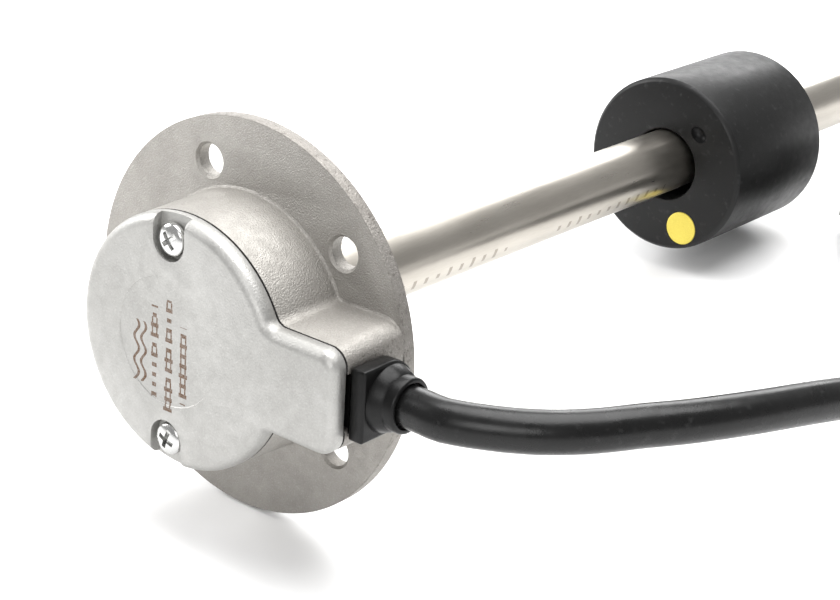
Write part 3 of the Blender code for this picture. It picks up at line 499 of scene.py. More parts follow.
@dataclass(frozen=True)
class BoardFinish(Finish):
    """Solder mask with copper tracks showing faintly through it."""

    track: float = 1.2 * MM
    copper_tint: Point = (0.05, 0.30, 0.12)

    def mark(self, wiring: Wiring, colour: object, rough: object) -> tuple[object, object]:
        """Run tracks under the mask.

        Args:
            wiring: The material being built.
            colour: The surface's colour.
            rough: The surface's roughness.

        Returns:
            The colour and the roughness with the markings.
        """
        grid = wiring.node("ShaderNodeTexVoronoi", distance="MANHATTAN", feature="F1")
        wiring.feed(grid.inputs["Vector"], wiring.placed(self.frame))
        grid.inputs["Scale"].default_value = 1.0 / (self.track * 2.5)
        line = wiring.spread(grid.outputs["Distance"], 1.0, 0.0, 0.35, 0.45)
        return wiring.blend(wiring.times(line, 0.6), colour, self.copper_tint), rough


# Modelling

class Maker:
    """Edit-mode modelling steps, and the hand-over of finished pieces.

    Pieces are modelled with Z running along their axis and are placed by the maker's matrix.
    """

    def __init__(self, place: Matrix, axis_to_y: bool = True) -> None:
        """Remember where the modelled pieces go.

        Args:
            place: The sub-assembly's own frame, whose Y axis is the pieces' axis.
            axis_to_y: True when the modelling Z axis is to lie on the frame's Y axis.
        """
        turn = Matrix.Rotation(math.radians(-90.0), 4, "X") if axis_to_y else Matrix()
        self.place = place @ turn

    @staticmethod
    def begin(name: str) -> Piece:
        """Name the primitive just added and go into edit mode with all of it selected.

        Args:
            name: The piece's name.

        Returns:
            The piece.
        """
        piece = bpy.context.object
        piece.name = name
        piece.data.name = name
        bpy.ops.object.mode_set(mode="EDIT")
        bpy.ops.mesh.select_mode(type="VERT")
        bpy.ops.mesh.select_all(action="SELECT")
        return piece

    @staticmethod
    def deselect() -> None:
        """Leave edit mode and deselect every object."""
        if bpy.context.object and bpy.context.object.mode != "OBJECT":
            bpy.ops.object.mode_set(mode="OBJECT")
        bpy.ops.object.select_all(action="DESELECT")

    @staticmethod
    def choose(piece: Piece) -> None:
        """Make one piece the selected and active object.

        Args:
            piece: The piece.
        """
        Maker.deselect()
        bpy.context.view_layer.objects.active = piece
        piece.select_set(True)

    @staticmethod
    def sweep(profile: Profile, centre: Spot) -> None:
        """Extrude the selected ring through a turned profile.

        Args:
            profile: Radius and level of each ring.
            centre: Where the axis stands.
        """
        for (radius, level), (after, height) in zip(profile, profile[1:]):
            bpy.ops.mesh.extrude_region_move(TRANSFORM_OT_translate={"value": (0.0, 0.0, height - level)})
            if abs(after - radius) > 1e-9:
                bpy.ops.transform.resize(
                    value=(after / radius, after / radius, 1.0), center_override=(*centre, height))

    def ring(self, name: str, profile: Profile, segments: int = 96) -> Piece:
        """A turned piece with a bore, from a closed profile.

        Args:
            name: The piece's name.
            profile: Radius and level of each corner, all radii above 0.
            segments: Faces round the axis.

        Returns:
            The piece, in object mode.
        """
        self.deselect()
        radius, level = profile[0]
        bpy.ops.mesh.primitive_circle_add(vertices=segments, radius=radius, location=(0.0, 0.0, level))
        piece = self.begin(name)
        self.sweep([*profile, profile[0]], (0.0, 0.0))
        bpy.ops.mesh.select_all(action="SELECT")
        bpy.ops.mesh.remove_doubles(threshold=WELD)
        bpy.ops.mesh.normals_make_consistent(inside=False)
        return self.settle(piece)

    def lathe(self, name: str, profile: Profile, segments: int = 96,
              centre: Spot = (0.0, 0.0)) -> Piece:
        """A turned solid piece with flat ends.

        Args:
            name: The piece's name.
            profile: Radius and level of each corner, from one end to the other.
            segments: Faces round the axis.
            centre: Where the axis stands.

        Returns:
            The piece, in object mode.
        """
        self.deselect()
        radius, level = profile[0]
        bpy.ops.mesh.primitive_circle_add(
            vertices=segments, radius=radius, fill_type="NGON", location=(*centre, level))
        piece = self.begin(name)
        self.sweep(profile, centre)
        bpy.ops.mesh.select_all(action="SELECT")
        bpy.ops.mesh.normals_make_consistent(inside=False)
        return self.settle(piece)

    def stack(self, name: str, sections: Sequence[tuple[Outline, float]]) -> Piece:
        """A solid skinned over outlines that lie above each other, closed at both ends.

        Args:
            name: The piece's name.
            sections: Each section's outline and level; all outlines have the same number of points.

        Returns:
            The piece, in object mode.
        """
        self.deselect()
        before, _ = sections[0]
        bpy.ops.mesh.primitive_circle_add(vertices=len(before), radius=1.0 * MM, fill_type="NGON")
        piece = self.begin(name)
        for number, (outline, level) in enumerate(sections):
            if number:
                bpy.ops.mesh.extrude_region_move(TRANSFORM_OT_translate={"value": (0.0, 0.0, 0.0)})
            shape = bmesh.from_edit_mesh(piece.data)
            shape.verts.ensure_lookup_table()
            for corner in [corner for corner in shape.verts if corner.select]:
                nearest = corner.index if not number else min(range(len(before)), key=lambda at: (
                    (before[at][0] - corner.co.x) ** 2 + (before[at][1] - corner.co.y) ** 2))
                corner.co = (*outline[nearest], level)
            bmesh.update_edit_mesh(piece.data)
            before = outline
        bpy.ops.mesh.select_all(action="SELECT")
        bpy.ops.mesh.normals_make_consistent(inside=False)
        return self.settle(piece)

    def block(self, name: str, low: Point, high: Point) -> Piece:
        """A box to be shaped further or used as a cutter.

        Args:
            name: The piece's name.
            low: Its lowest corner.
            high: Its highest corner.

        Returns:
            The piece, in object mode.
        """
        self.deselect()
        middle = [(a + b) / 2.0 for a, b in zip(low, high)]
        bpy.ops.mesh.primitive_cube_add(size=1.0, location=middle)
        piece = self.begin(name)
        bpy.ops.transform.resize(value=[abs(b - a) for a, b in zip(low, high)], center_override=middle)
        return self.settle(piece)

    @staticmethod
    def settle(piece: Piece) -> Piece:
        """Leave edit mode and bring the piece's place into its mesh.

        Args:
            piece: The piece.

        Returns:
            The same piece.
        """
        bpy.ops.object.mode_set(mode="OBJECT")
        bpy.ops.object.transform_apply(location=True, rotation=True, scale=True)
        return piece

    def combine(self, piece: Piece, other: Piece, how: Combine) -> None:
        """Join another solid to the piece, or carve it out.

        Args:
            piece: The piece that changes.
            other: The other solid, which is used up.
            how: Whether to join or carve.
        """
        self.choose(piece)
        change = piece.modifiers.new("combine", "BOOLEAN")
        change.operation = how.value
        change.solver = "EXACT"
        change.object = other
        bpy.ops.object.modifier_apply(modifier=change.name)
        bpy.data.objects.remove(other, do_unlink=True)

    def select_edges(self, piece: Piece, test: Test) -> None:
        """Go into edit mode with the corner edges that pass a test selected.

        Args:
            piece: The piece.
            test: Takes the two ends of an edge.
        """
        self.choose(piece)
        bpy.ops.object.mode_set(mode="EDIT")
        bpy.ops.mesh.select_mode(type="EDGE")
        bpy.ops.mesh.select_all(action="DESELECT")
        shape = bmesh.from_edit_mesh(piece.data)
        for edge in shape.edges:
            corner = edge.calc_face_angle(math.pi) > math.radians(5.0)
            if corner and test(edge.verts[0].co, edge.verts[1].co):
                edge.select_set(True)
        bmesh.update_edit_mesh(piece.data)

    def select_faces(self, piece: Piece, test: Test) -> None:
        """Go into edit mode with the faces that pass a test selected.

        Args:
            piece: The piece.
            test: Takes a face's middle and its normal.
        """
        self.select_edges(piece, lambda a, b: False)
        bpy.ops.mesh.select_mode(type="FACE")
        shape = bmesh.from_edit_mesh(piece.data)
        for face in shape.faces:
            face.select_set(bool(test(face.calc_center_median(), face.normal)))
        bmesh.update_edit_mesh(piece.data)

    def bevel(self, piece: Piece, test: Test, width: float, segments: int = 3) -> None:
        """Round the edges that pass a test.

        Args:
            piece: The piece.
            test: Takes the two ends of an edge.
            width: The rounding's width.
            segments: Faces across the rounding.
        """
        self.select_edges(piece, test)
        bpy.ops.mesh.bevel(offset=width, segments=segments, affect="EDGES", clamp_overlap=False)
        bpy.ops.object.mode_set(mode="OBJECT")

    def soften(self, piece: Piece, width: float, segments: int = 2, angle: float = 40.0) -> None:
        """Round every sharp edge a little.

        Args:
            piece: The piece.
            width: The rounding's width.
            segments: Faces across the rounding.
            angle: Edges sharper than this are rounded, in degrees.
        """
        self.merge_flats(piece)
        change = piece.modifiers.new("soften", "BEVEL")
        change.width = width
        change.segments = segments
        change.limit_method = "ANGLE"
        change.angle_limit = math.radians(angle)
        change.use_clamp_overlap = True
        bpy.ops.object.modifier_apply(modifier=change.name)

    def merge_flats(self, piece: Piece) -> None:
        """Merge points that all but touch, and faces that lie in one plane.

        Args:
            piece: The piece.
        """
        self.select_edges(piece, lambda a, b: True)
        bpy.ops.mesh.select_all(action="SELECT")
        bpy.ops.mesh.remove_doubles(threshold=0.008 * MM)
        bpy.ops.mesh.dissolve_limited(angle_limit=math.radians(0.4))
        bpy.ops.object.mode_set(mode="OBJECT")

    def lay_along_x(self, piece: Piece, level: float) -> Piece:
        """Turn a lathed piece so that its axis runs along X at a level of the stem.

        Args:
            piece: The piece, modelled about the Z axis.
            level: The level along the stem.

        Returns:
            The same piece.
        """
        self.choose(piece)
        piece.rotation_euler = (0.0, math.radians(90.0), 0.0)
        piece.location = (0.0, 0.0, level)
        bpy.ops.object.transform_apply(location=True, rotation=True, scale=True)
        return piece

    def hand_over(self, piece: Piece, body: Body, finish: Finish, replaces: Sequence[str],
                  angle: float = 32.0) -> Piece:
        """Place a finished piece, dress it and let it ride on its body.

        Args:
            piece: The finished piece.
            body: The body it rides on.
            finish: Its finish.
            replaces: The frame's nodes that it stands for.
            angle: Edges sharper than this stay crisp, in degrees.

        Returns:
            The same piece.
        """
        self.choose(piece)
        bpy.ops.object.mode_set(mode="EDIT")
        bpy.ops.mesh.select_all(action="SELECT")
        bpy.ops.mesh.remove_doubles(threshold=WELD)
        bpy.ops.mesh.normals_make_consistent(inside=False)
        bpy.ops.object.mode_set(mode="OBJECT")
        piece.matrix_world = self.place
        bpy.ops.object.transform_apply(location=True, rotation=True, scale=True)
        bpy.ops.object.shade_smooth_by_angle(angle=math.radians(angle))
        piece.data.materials.clear()
        piece.data.materials.append(Wardrobe.material(finish))
        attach(piece, body.value)
        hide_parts(*replaces)
        LOG.info("%s: %d faces, rides on %s", piece.name, len(piece.data.polygons), body.value)
        return piece


class Wardrobe:
    """Keeps one material for each finish."""

    made: dict[str, bpy.types.Material] = {}

    @classmethod
    def material(cls, finish: Finish) -> bpy.types.Material:
        """The finish's material, built once.

        Args:
            finish: The finish.

        Returns:
            Its material.
        """
        if finish.name not in cls.made:
            cls.made[finish.name] = finish.build()
        return cls.made[finish.name]


def sender_matrix(joints: Sequence[dict]) -> Matrix:
    """The sender's own frame, from the float's joints.

    Args:
        joints: The frame's joints.

    Returns:
        A matrix whose Y axis is the stem's axis and whose origin is the flange's seal face.
    """
    spin = next(joint for joint in joints if joint["name"] == "float_spin")
    along = Vector(spin["axis"]).normalized()
    across = Vector((1.0, 0.0, 0.0))
    up = across.cross(along).normalized()
    turn = Matrix((across, along, up)).transposed().to_4x4()
    origin = Vector(spin["pos_m"]) - along * FloatSet.start + up * FloatSet.sag
    return Matrix.Translation(origin) @ turn


# Sub-assemblies

@dataclass
class Housing:
    """The flange casting with its cup and spout, the cover and the cover's screws."""

    maker: Maker
    cast: Finish
    satin: Finish
    bright: Finish
    flange_radius: float = 34.5 * MM
    flange_back: float = -2.7 * MM
    bore: float = 6.8 * MM
    socket_radius: float = 9.0 * MM
    socket_height: float = 2.5 * MM
    hole_circle: float = 27.0 * MM
    hole_radius: float = 2.75 * MM
    hole_angles: tuple[float, ...] = (40.0, 110.0, 180.0, 250.0, 320.0)
    cup_radius: float = 21.8 * MM
    rim: float = -16.1 * MM
    spout_half: float = 8.8 * MM
    spout_reach: float = 34.1 * MM
    spout_corner: float = 3.2 * MM
    neck_fillet: float = 2.4 * MM
    wall: float = 2.6 * MM
    floor: float = -2.5 * MM
    cover_low: float = -16.3 * MM
    cover_top: float = -19.5 * MM
    cover_round: float = 1.9 * MM
    screw_x: float = -1.5 * MM
    screw_spread: float = 17.5 * MM
    pocket_radius: float = 3.5 * MM
    drill_radius: float = 1.55 * MM
    pocket_level: float = -17.6 * MM
    slot_half: float = 4.9 * MM
    slot_level: float = -9.6 * MM

    def outline(self, inset: float) -> Outline:
        """The housing's outline: a round body with a straight spout and filleted neck.

        Args:
            inset: How far it stands inside the full outline; below 0 it stands outside.

        Returns:
            The outline's points, in order.
        """
        radius, half = self.cup_radius - inset, self.spout_half - inset
        reach = self.spout_reach - max(inset, 0.0)
        corner, fillet = self.spout_corner - inset, self.neck_fillet + inset
        centre = math.sqrt((radius + fillet) ** 2 - (half + fillet) ** 2)
        touch = math.atan2(half + fillet, centre)
        points: list[Spot] = []

        def arc(x: float, y: float, r: float, start: float, end: float, steps: int) -> None:
            """Add an arc's points to the outline."""
            for step in range(steps + 1):
                angle = start + (end - start) * step / steps
                points.append((x + r * math.cos(angle), y + r * math.sin(angle)))

        quarter = math.pi / 2.0
        arc(reach - corner, -half + corner, corner, -quarter, -0.06, 8)
        arc(reach - corner, half - corner, corner, 0.06, quarter, 8)
        arc(centre, half + fillet, fillet, -quarter, touch - math.pi, 8)
        arc(0.0, 0.0, radius, touch + 0.03, math.tau - touch - 0.03, 150)
        arc(centre, -half - fillet, fillet, math.pi - touch, quarter, 8)
        return points

    def keyhole(self, name: str, sections: Profile) -> Piece:
        """A solid with the housing's outline, set in by different amounts at different levels.

        Args:
            name: The piece's name.
            sections: Inset and level of each section.

        Returns:
            The solid.
        """
        return self.maker.stack(name, [(self.outline(inset), level) for inset, level in sections])

    def build_casting(self) -> None:
        """Model the flange with its cup, socket, holes and cavity."""
        make = self.maker
        edge = 0.22 * MM
        back, outer = self.flange_back, self.flange_radius
        casting = make.ring("flange_casting", [
            (self.bore, back), (self.bore, self.socket_height),
            (self.socket_radius - edge, self.socket_height),
            (self.socket_radius, self.socket_height - edge), (self.socket_radius, 0.3 * MM),
            (self.socket_radius + 0.3 * MM, 0.0), (outer - edge, 0.0), (outer, -edge),
            (outer, back + edge), (outer - edge * 0.3, back + edge * 0.3), (outer - edge, back),
        ], 192)
        rim, draft = self.rim, 0.5 * MM
        cup = self.keyhole("cup", [
            (-0.9 * MM, back + 1.0 * MM), (-0.9 * MM, back - 0.03 * MM), (-0.66 * MM, back - 0.14 * MM),
            (-0.55 * MM, back - 0.3 * MM), (-draft, back - 0.5 * MM), (-0.02 * MM, rim + 0.25 * MM),
            (0.05 * MM, rim + 0.08 * MM), (0.2 * MM, rim)])
        make.combine(casting, cup, Combine.JOIN)
        shelf = rim + 0.8 * MM
        cavity = self.keyhole("cavity", [
            (self.wall, self.floor), (self.wall, shelf), (1.1 * MM, shelf), (1.1 * MM, rim - 1.0 * MM)])
        make.combine(casting, cavity, Combine.CARVE)
        for side in (1.0, -1.0):
            spot = (self.screw_x, side * self.screw_spread)
            pillar = make.lathe("boss", [(3.1 * MM, self.floor + 1.0 * MM), (3.1 * MM, -15.0 * MM)], 48, spot)
            make.combine(casting, pillar, Combine.JOIN)
            drill = make.lathe("drill", [(self.drill_radius, -8.3 * MM),
                                         (self.drill_radius, -17.0 * MM)], 32, spot)
            make.combine(casting, drill, Combine.CARVE)
        for angle in self.hole_angles:
            turn = math.radians(angle)
            spot = (self.hole_circle * math.cos(turn), -self.hole_circle * math.sin(turn))
            drill = make.lathe("drill", [
                (self.hole_radius, 1.0 * MM), (self.hole_radius, back + 0.45 * MM),
                (self.hole_radius + 0.6 * MM, back - 0.15 * MM),
                (self.hole_radius + 0.6 * MM, back - 1.0 * MM)], 64, spot)
            make.combine(casting, drill, Combine.CARVE)
        self.open_slot(casting)
        make.soften(casting, 0.1 * MM, 2, 50.0)
        make.hand_over(casting, Body.SENDER, self.cast, ["flange_housing"], 28.0)

    def open_slot(self, casting: Piece) -> None:
        """Cut the grommet's slot into the spout's end.

        Args:
            casting: The casting.
        """
        make = self.maker
        start, end = self.spout_reach - self.wall - 2.0 * MM, self.spout_reach + 1.0 * MM
        tunnel = make.lay_along_x(
            make.lathe("tunnel", [(self.slot_half, start), (self.slot_half, end)], 64), self.slot_level)
        make.combine(casting, tunnel, Combine.CARVE)
        low = (start, -self.slot_half, self.rim - 1.0 * MM)
        high = (end, self.slot_half, self.slot_level)
        make.combine(casting, make.block("mouth", low, high), Combine.CARVE)

    def build_cover(self) -> None:
        """Model the cover with its rounded edge, shallow recess and screw pockets."""
        make = self.maker
        top, rounding = self.cover_top, self.cover_round
        low, shoulder = self.cover_low, top + rounding
        turns = [math.radians(90.0 * step / 10.0) for step in range(11)]
        cover = self.keyhole("cover_casting", [
            (0.18 * MM, low), (0.05 * MM, low - 0.05 * MM), (0.0, low - 0.18 * MM),
            *[(rounding * (1.0 - math.cos(turn)), shoulder - rounding * math.sin(turn)) for turn in turns]])
        recess = make.lathe("recess", [(11.0 * MM, top + 0.12 * MM), (11.4 * MM, top - 0.3 * MM)], 128,
                            (self.screw_x, 0.0))
        make.combine(cover, recess, Combine.CARVE)
        for side in (1.0, -1.0):
            spot = (self.screw_x, side * self.screw_spread)
            pocket = make.lathe("pocket", [(self.pocket_radius, self.pocket_level),
                                           (self.pocket_radius, top - 1.0 * MM)], 64, spot)
            half = self.pocket_radius
            edge = side * self.screw_spread
            far = side * (self.cup_radius + 1.0 * MM)
            mouth = make.block("mouth", (self.screw_x - half, min(edge, far), self.pocket_level),
                               (self.screw_x + half, max(edge, far), top - 1.0 * MM))
            make.combine(pocket, mouth, Combine.JOIN)
            make.combine(cover, pocket, Combine.CARVE)
            drill = make.lathe("drill", [(self.drill_radius, self.cover_low + 1.0 * MM),
                                         (self.drill_radius, top - 0.5 * MM)], 32, spot)
            make.combine(cover, drill, Combine.CARVE)
        make.soften(cover, 0.14 * MM, 3, 35.0)
        make.hand_over(cover, Body.SENDER, self.satin, ["cover"], 30.0)

    def build_screws(self) -> None:
        """Model the two cross-recessed pan screws."""
        make = self.maker
        head, height = 2.75 * MM, 1.7 * MM
        seat = self.pocket_level - 0.3 * MM
        top = seat - height
        for side, name, turn in ((1.0, "cover_screw_lower", 20.0), (-1.0, "cover_screw_upper", 52.0)):
            spot = (self.screw_x, side * self.screw_spread)
            dome = [(head * math.sin(a), top + height * 0.5 * (1.0 - math.cos(a)))
                    for a in [math.radians(90.0 * step / 8.0) for step in range(8, 0, -1)]]
            profile = [(1.25 * MM, self.pocket_level + 9.0 * MM), (1.25 * MM, seat), (head - 0.15 * MM, seat),
                       (head, seat - 0.15 * MM), *dome]
            screw = make.lathe(f"{name}_turned", profile, 64, spot)
            for quarter in (0.0, 90.0):
                wing = make.block("wing", (-1.6 * MM, -0.4 * MM, top - 1.0 * MM),
                                  (1.6 * MM, 0.4 * MM, top + 1.2 * MM))
                wing.rotation_euler.z = math.radians(turn + quarter)
                wing.location = (*spot, 0.0)
                make.combine(screw, wing, Combine.CARVE)
            make.soften(screw, 0.06 * MM, 2, 50.0)
            make.hand_over(screw, Body.SENDER, self.bright, [name], 35.0)

    def build(self) -> None:
        """Model and dress the whole housing."""
        self.build_casting()
        self.build_cover()
        self.build_screws()


@dataclass
class Grommet:
    """The rubber grommet in the spout's end."""

    maker: Maker
    rubber: Finish
    level: float = -9.6 * MM
    lid_level: float = -15.8 * MM
    neck_level: float = -15.3 * MM
    half: float = 6.1 * MM
    neck: float = 4.6 * MM
    inner: float = 29.7 * MM
    wall_in: float = 31.2 * MM
    wall_out: float = 34.4 * MM
    cone: float = 37.3 * MM
    collar: float = 39.7 * MM
    end: float = 41.6 * MM
    collar_radius: float = 4.6 * MM
    bore: float = 3.8 * MM
    recess: float = 1.0 * MM

    def slab(self, name: str, start: float, end: float, half: float, lid: float) -> Piece:
        """A block with a round side towards the flange.

        Args:
            name: The piece's name.
            start: Where it starts along X.
            end: Where it ends along X.
            half: Its half width, which is the round side's radius.
            lid: The level of its flat side.

        Returns:
            The slab.
        """
        make = self.maker
        arch = make.lay_along_x(make.lathe(name, [(half, start), (half, end)], 96), self.level)
        base = make.block(f"{name}_base", (start, -half, lid), (end, half, self.level))
        make.combine(arch, base, Combine.JOIN)
        return arch

    def build(self) -> None:
        """Model and dress the grommet."""
        make = self.maker
        piece = self.slab("grommet_moulding", self.wall_out, self.cone, self.half, self.lid_level)
        make.combine(piece, self.slab("neck", self.wall_in - 0.5 * MM, self.wall_out + 0.5 * MM, self.neck,
                                      self.neck_level), Combine.JOIN)
        make.combine(piece, self.slab("flange", self.inner, self.wall_in, self.half - 0.5 * MM,
                                      self.neck_level), Combine.JOIN)
        make.soften(piece, 0.45 * MM, 3, 50.0)
        spread = self.half * 0.93
        cone = make.lay_along_x(make.lathe("cone", [
            (spread, self.cone - 1.2 * MM), (spread, self.cone + 0.1 * MM),
            (spread * 0.94, self.cone + 0.8 * MM), (self.collar_radius + 0.35 * MM, self.collar - 0.5 * MM),
            (self.collar_radius, self.collar - 0.1 * MM), (self.collar_radius, self.end - 0.4 * MM),
            (self.collar_radius - 0.12 * MM, self.end - 0.12 * MM),
            (self.collar_radius - 0.35 * MM, self.end), (self.bore + 0.1 * MM, self.end),
            (self.bore, self.end - 0.1 * MM), (self.bore, self.end - self.recess)], 96), self.level)
        make.combine(piece, cone, Combine.JOIN)
        make.hand_over(piece, Body.SENDER, self.rubber, ["cable_grommet"], 40.0)


@dataclass
class Stem:
    """The stem tube, its end plug, and the washer and clip that stop the float."""

    maker: Maker
    steel: Finish
    bright: Finish
    radius: float = 6.5 * MM
    inner: float = 5.5 * MM
    start: float = -5.7 * MM
    end: float = 298.5 * MM
    length: float = 300.0 * MM
    stop: float = 293.0 * MM
    stop_bore: float = 6.8 * MM
    clip_bore: float = 6.18 * MM
    clip_radius: float = 8.2 * MM

    def build(self) -> None:
        """Model and dress the stem."""
        make = self.maker
        groove = self.stop + 1.5 * MM
        tube = make.ring("stem_tube_drawn", [
            (self.inner, self.start), (self.radius - 0.15 * MM, self.start),
            (self.radius, self.start + 0.15 * MM), (self.radius, groove), (self.radius - 0.5 * MM, groove),
            (self.radius - 0.5 * MM, groove + 1.3 * MM),
            (self.radius, groove + 1.3 * MM), (self.radius, self.end - 0.1 * MM),
            (self.radius - 0.1 * MM, self.end), (self.inner, self.end)], 128)
        make.hand_over(tube, Body.SENDER, self.steel, ["stem_tube"])
        plug = make.lathe("stem_end_cap", [
            (self.inner - 0.3 * MM, self.end - 8.0 * MM), (self.inner - 0.3 * MM, self.end + 0.3 * MM),
            (self.radius - 0.1 * MM, self.end + 0.3 * MM), (self.radius, self.end + 0.4 * MM),
            (self.radius, self.length - 0.5 * MM), (self.radius - 0.15 * MM, self.length - 0.15 * MM),
            (self.radius - 0.5 * MM, self.length), (1.0 * MM, self.length)], 96)
        make.hand_over(plug, Body.SENDER, self.steel, ["stem_end_plug"])
        washer = make.ring("float_stop_ring", [
            (self.stop_bore, self.stop), (8.85 * MM, self.stop), (9.0 * MM, self.stop + 0.15 * MM),
            (9.0 * MM, self.stop + 1.05 * MM), (8.85 * MM, self.stop + 1.2 * MM),
            (self.stop_bore, self.stop + 1.2 * MM)], 96)
        make.hand_over(washer, Body.SENDER, self.steel, ["float_stop_washer"])
        low = self.stop + 1.65 * MM
        clip = make.ring("float_stop_circlip", [
            (self.clip_bore, low), (self.clip_radius, low), (self.clip_radius, low + 0.7 * MM),
            (self.clip_bore, low + 0.7 * MM)], 96)
        gap = make.block("gap", (4.0 * MM, -4.4 * MM, low - 1.0 * MM), (9.0 * MM, 4.4 * MM, low + 2.0 * MM))
        make.combine(clip, gap, Combine.CARVE)
        make.soften(clip, 0.12 * MM, 2, 50.0)
        make.hand_over(clip, Body.SENDER, self.bright, ["float_stop_clip"])


@dataclass
class FloatSet:
    """The float with its marker dot."""

    maker: Maker
    foam: Finish
    paint: Finish
    start: float = 124.4 * MM
    sag: float = 0.9 * MM
    radius: float = 18.5 * MM
    length: float = 34.4 * MM
    bore: float = 7.7 * MM
    edge: float = 0.8 * MM
    dot_radius: float = 3.5 * MM
    dot_distance: float = 14.1 * MM
    dot_angle: float = -65.0
    magnet_radius: float = 14.3 * MM
    magnet_half: float = 3.3 * MM

    def build(self) -> None:
        """Model and dress the float."""
        make = self.maker
        middle, half = self.length / 2.0, self.magnet_half
        magnet = self.magnet_radius
        outer, edge, length = self.radius, self.edge, self.length
        body = make.ring("float_moulding", [
            (self.bore, 0.25 * MM), (self.bore + 0.25 * MM, 0.0), (outer - edge - 0.12 * MM, 0.0),
            (outer - edge + 0.05 * MM, 0.06 * MM), (outer - 0.06 * MM, edge - 0.05 * MM),
            (outer, edge + 0.12 * MM),
            (outer, length - edge - 0.12 * MM), (outer - 0.06 * MM, length - edge + 0.05 * MM),
            (outer - edge + 0.05 * MM, length - 0.06 * MM), (outer - edge - 0.12 * MM, length),
            (self.bore + 0.25 * MM, length), (self.bore, length - 0.25 * MM), (self.bore, middle + half),
            (magnet, middle + half), (magnet, middle - half), (self.bore, middle - half)], 160)
        turn = math.radians(self.dot_angle)
        spot = (self.dot_distance * math.cos(turn), -self.dot_distance * math.sin(turn))
        pocket = make.lathe("pocket", [(self.dot_radius + 0.15 * MM, -1.0 * MM),
                                       (self.dot_radius + 0.15 * MM, 0.72 * MM)], 64, spot)
        make.combine(body, pocket, Combine.CARVE)
        self.gate_mark(body)
        make.hand_over(body, Body.FLOAT, self.foam, ["float_body"])
        dot = make.lathe("marker_dot", [
            (self.dot_radius, 0.42 * MM), (self.dot_radius, 0.0), (self.dot_radius - 0.1 * MM, -0.06 * MM),
            (self.dot_radius - 0.4 * MM, -0.08 * MM)], 64, spot)
        make.hand_over(dot, Body.FLOAT, self.paint, ["float_marker_dot"])

    def gate_mark(self, body: Piece) -> None:
        """Sink the mould's gate mark into the float's near face.

        Args:
            body: The float's body.
        """
        make = self.maker
        make.deselect()
        spot = (7.75 * MM, -8.4 * MM, -0.15 * MM)
        bpy.ops.mesh.primitive_uv_sphere_add(segments=32, ring_count=16, radius=1.0 * MM, location=spot)
        pit = bpy.context.object
        pit.scale = (2.0, 1.55, 1.7)
        pit.rotation_euler.z = math.radians(35.0)
        bpy.ops.object.transform_apply(location=True, rotation=True, scale=True)
        make.combine(body, pit, Combine.CARVE)


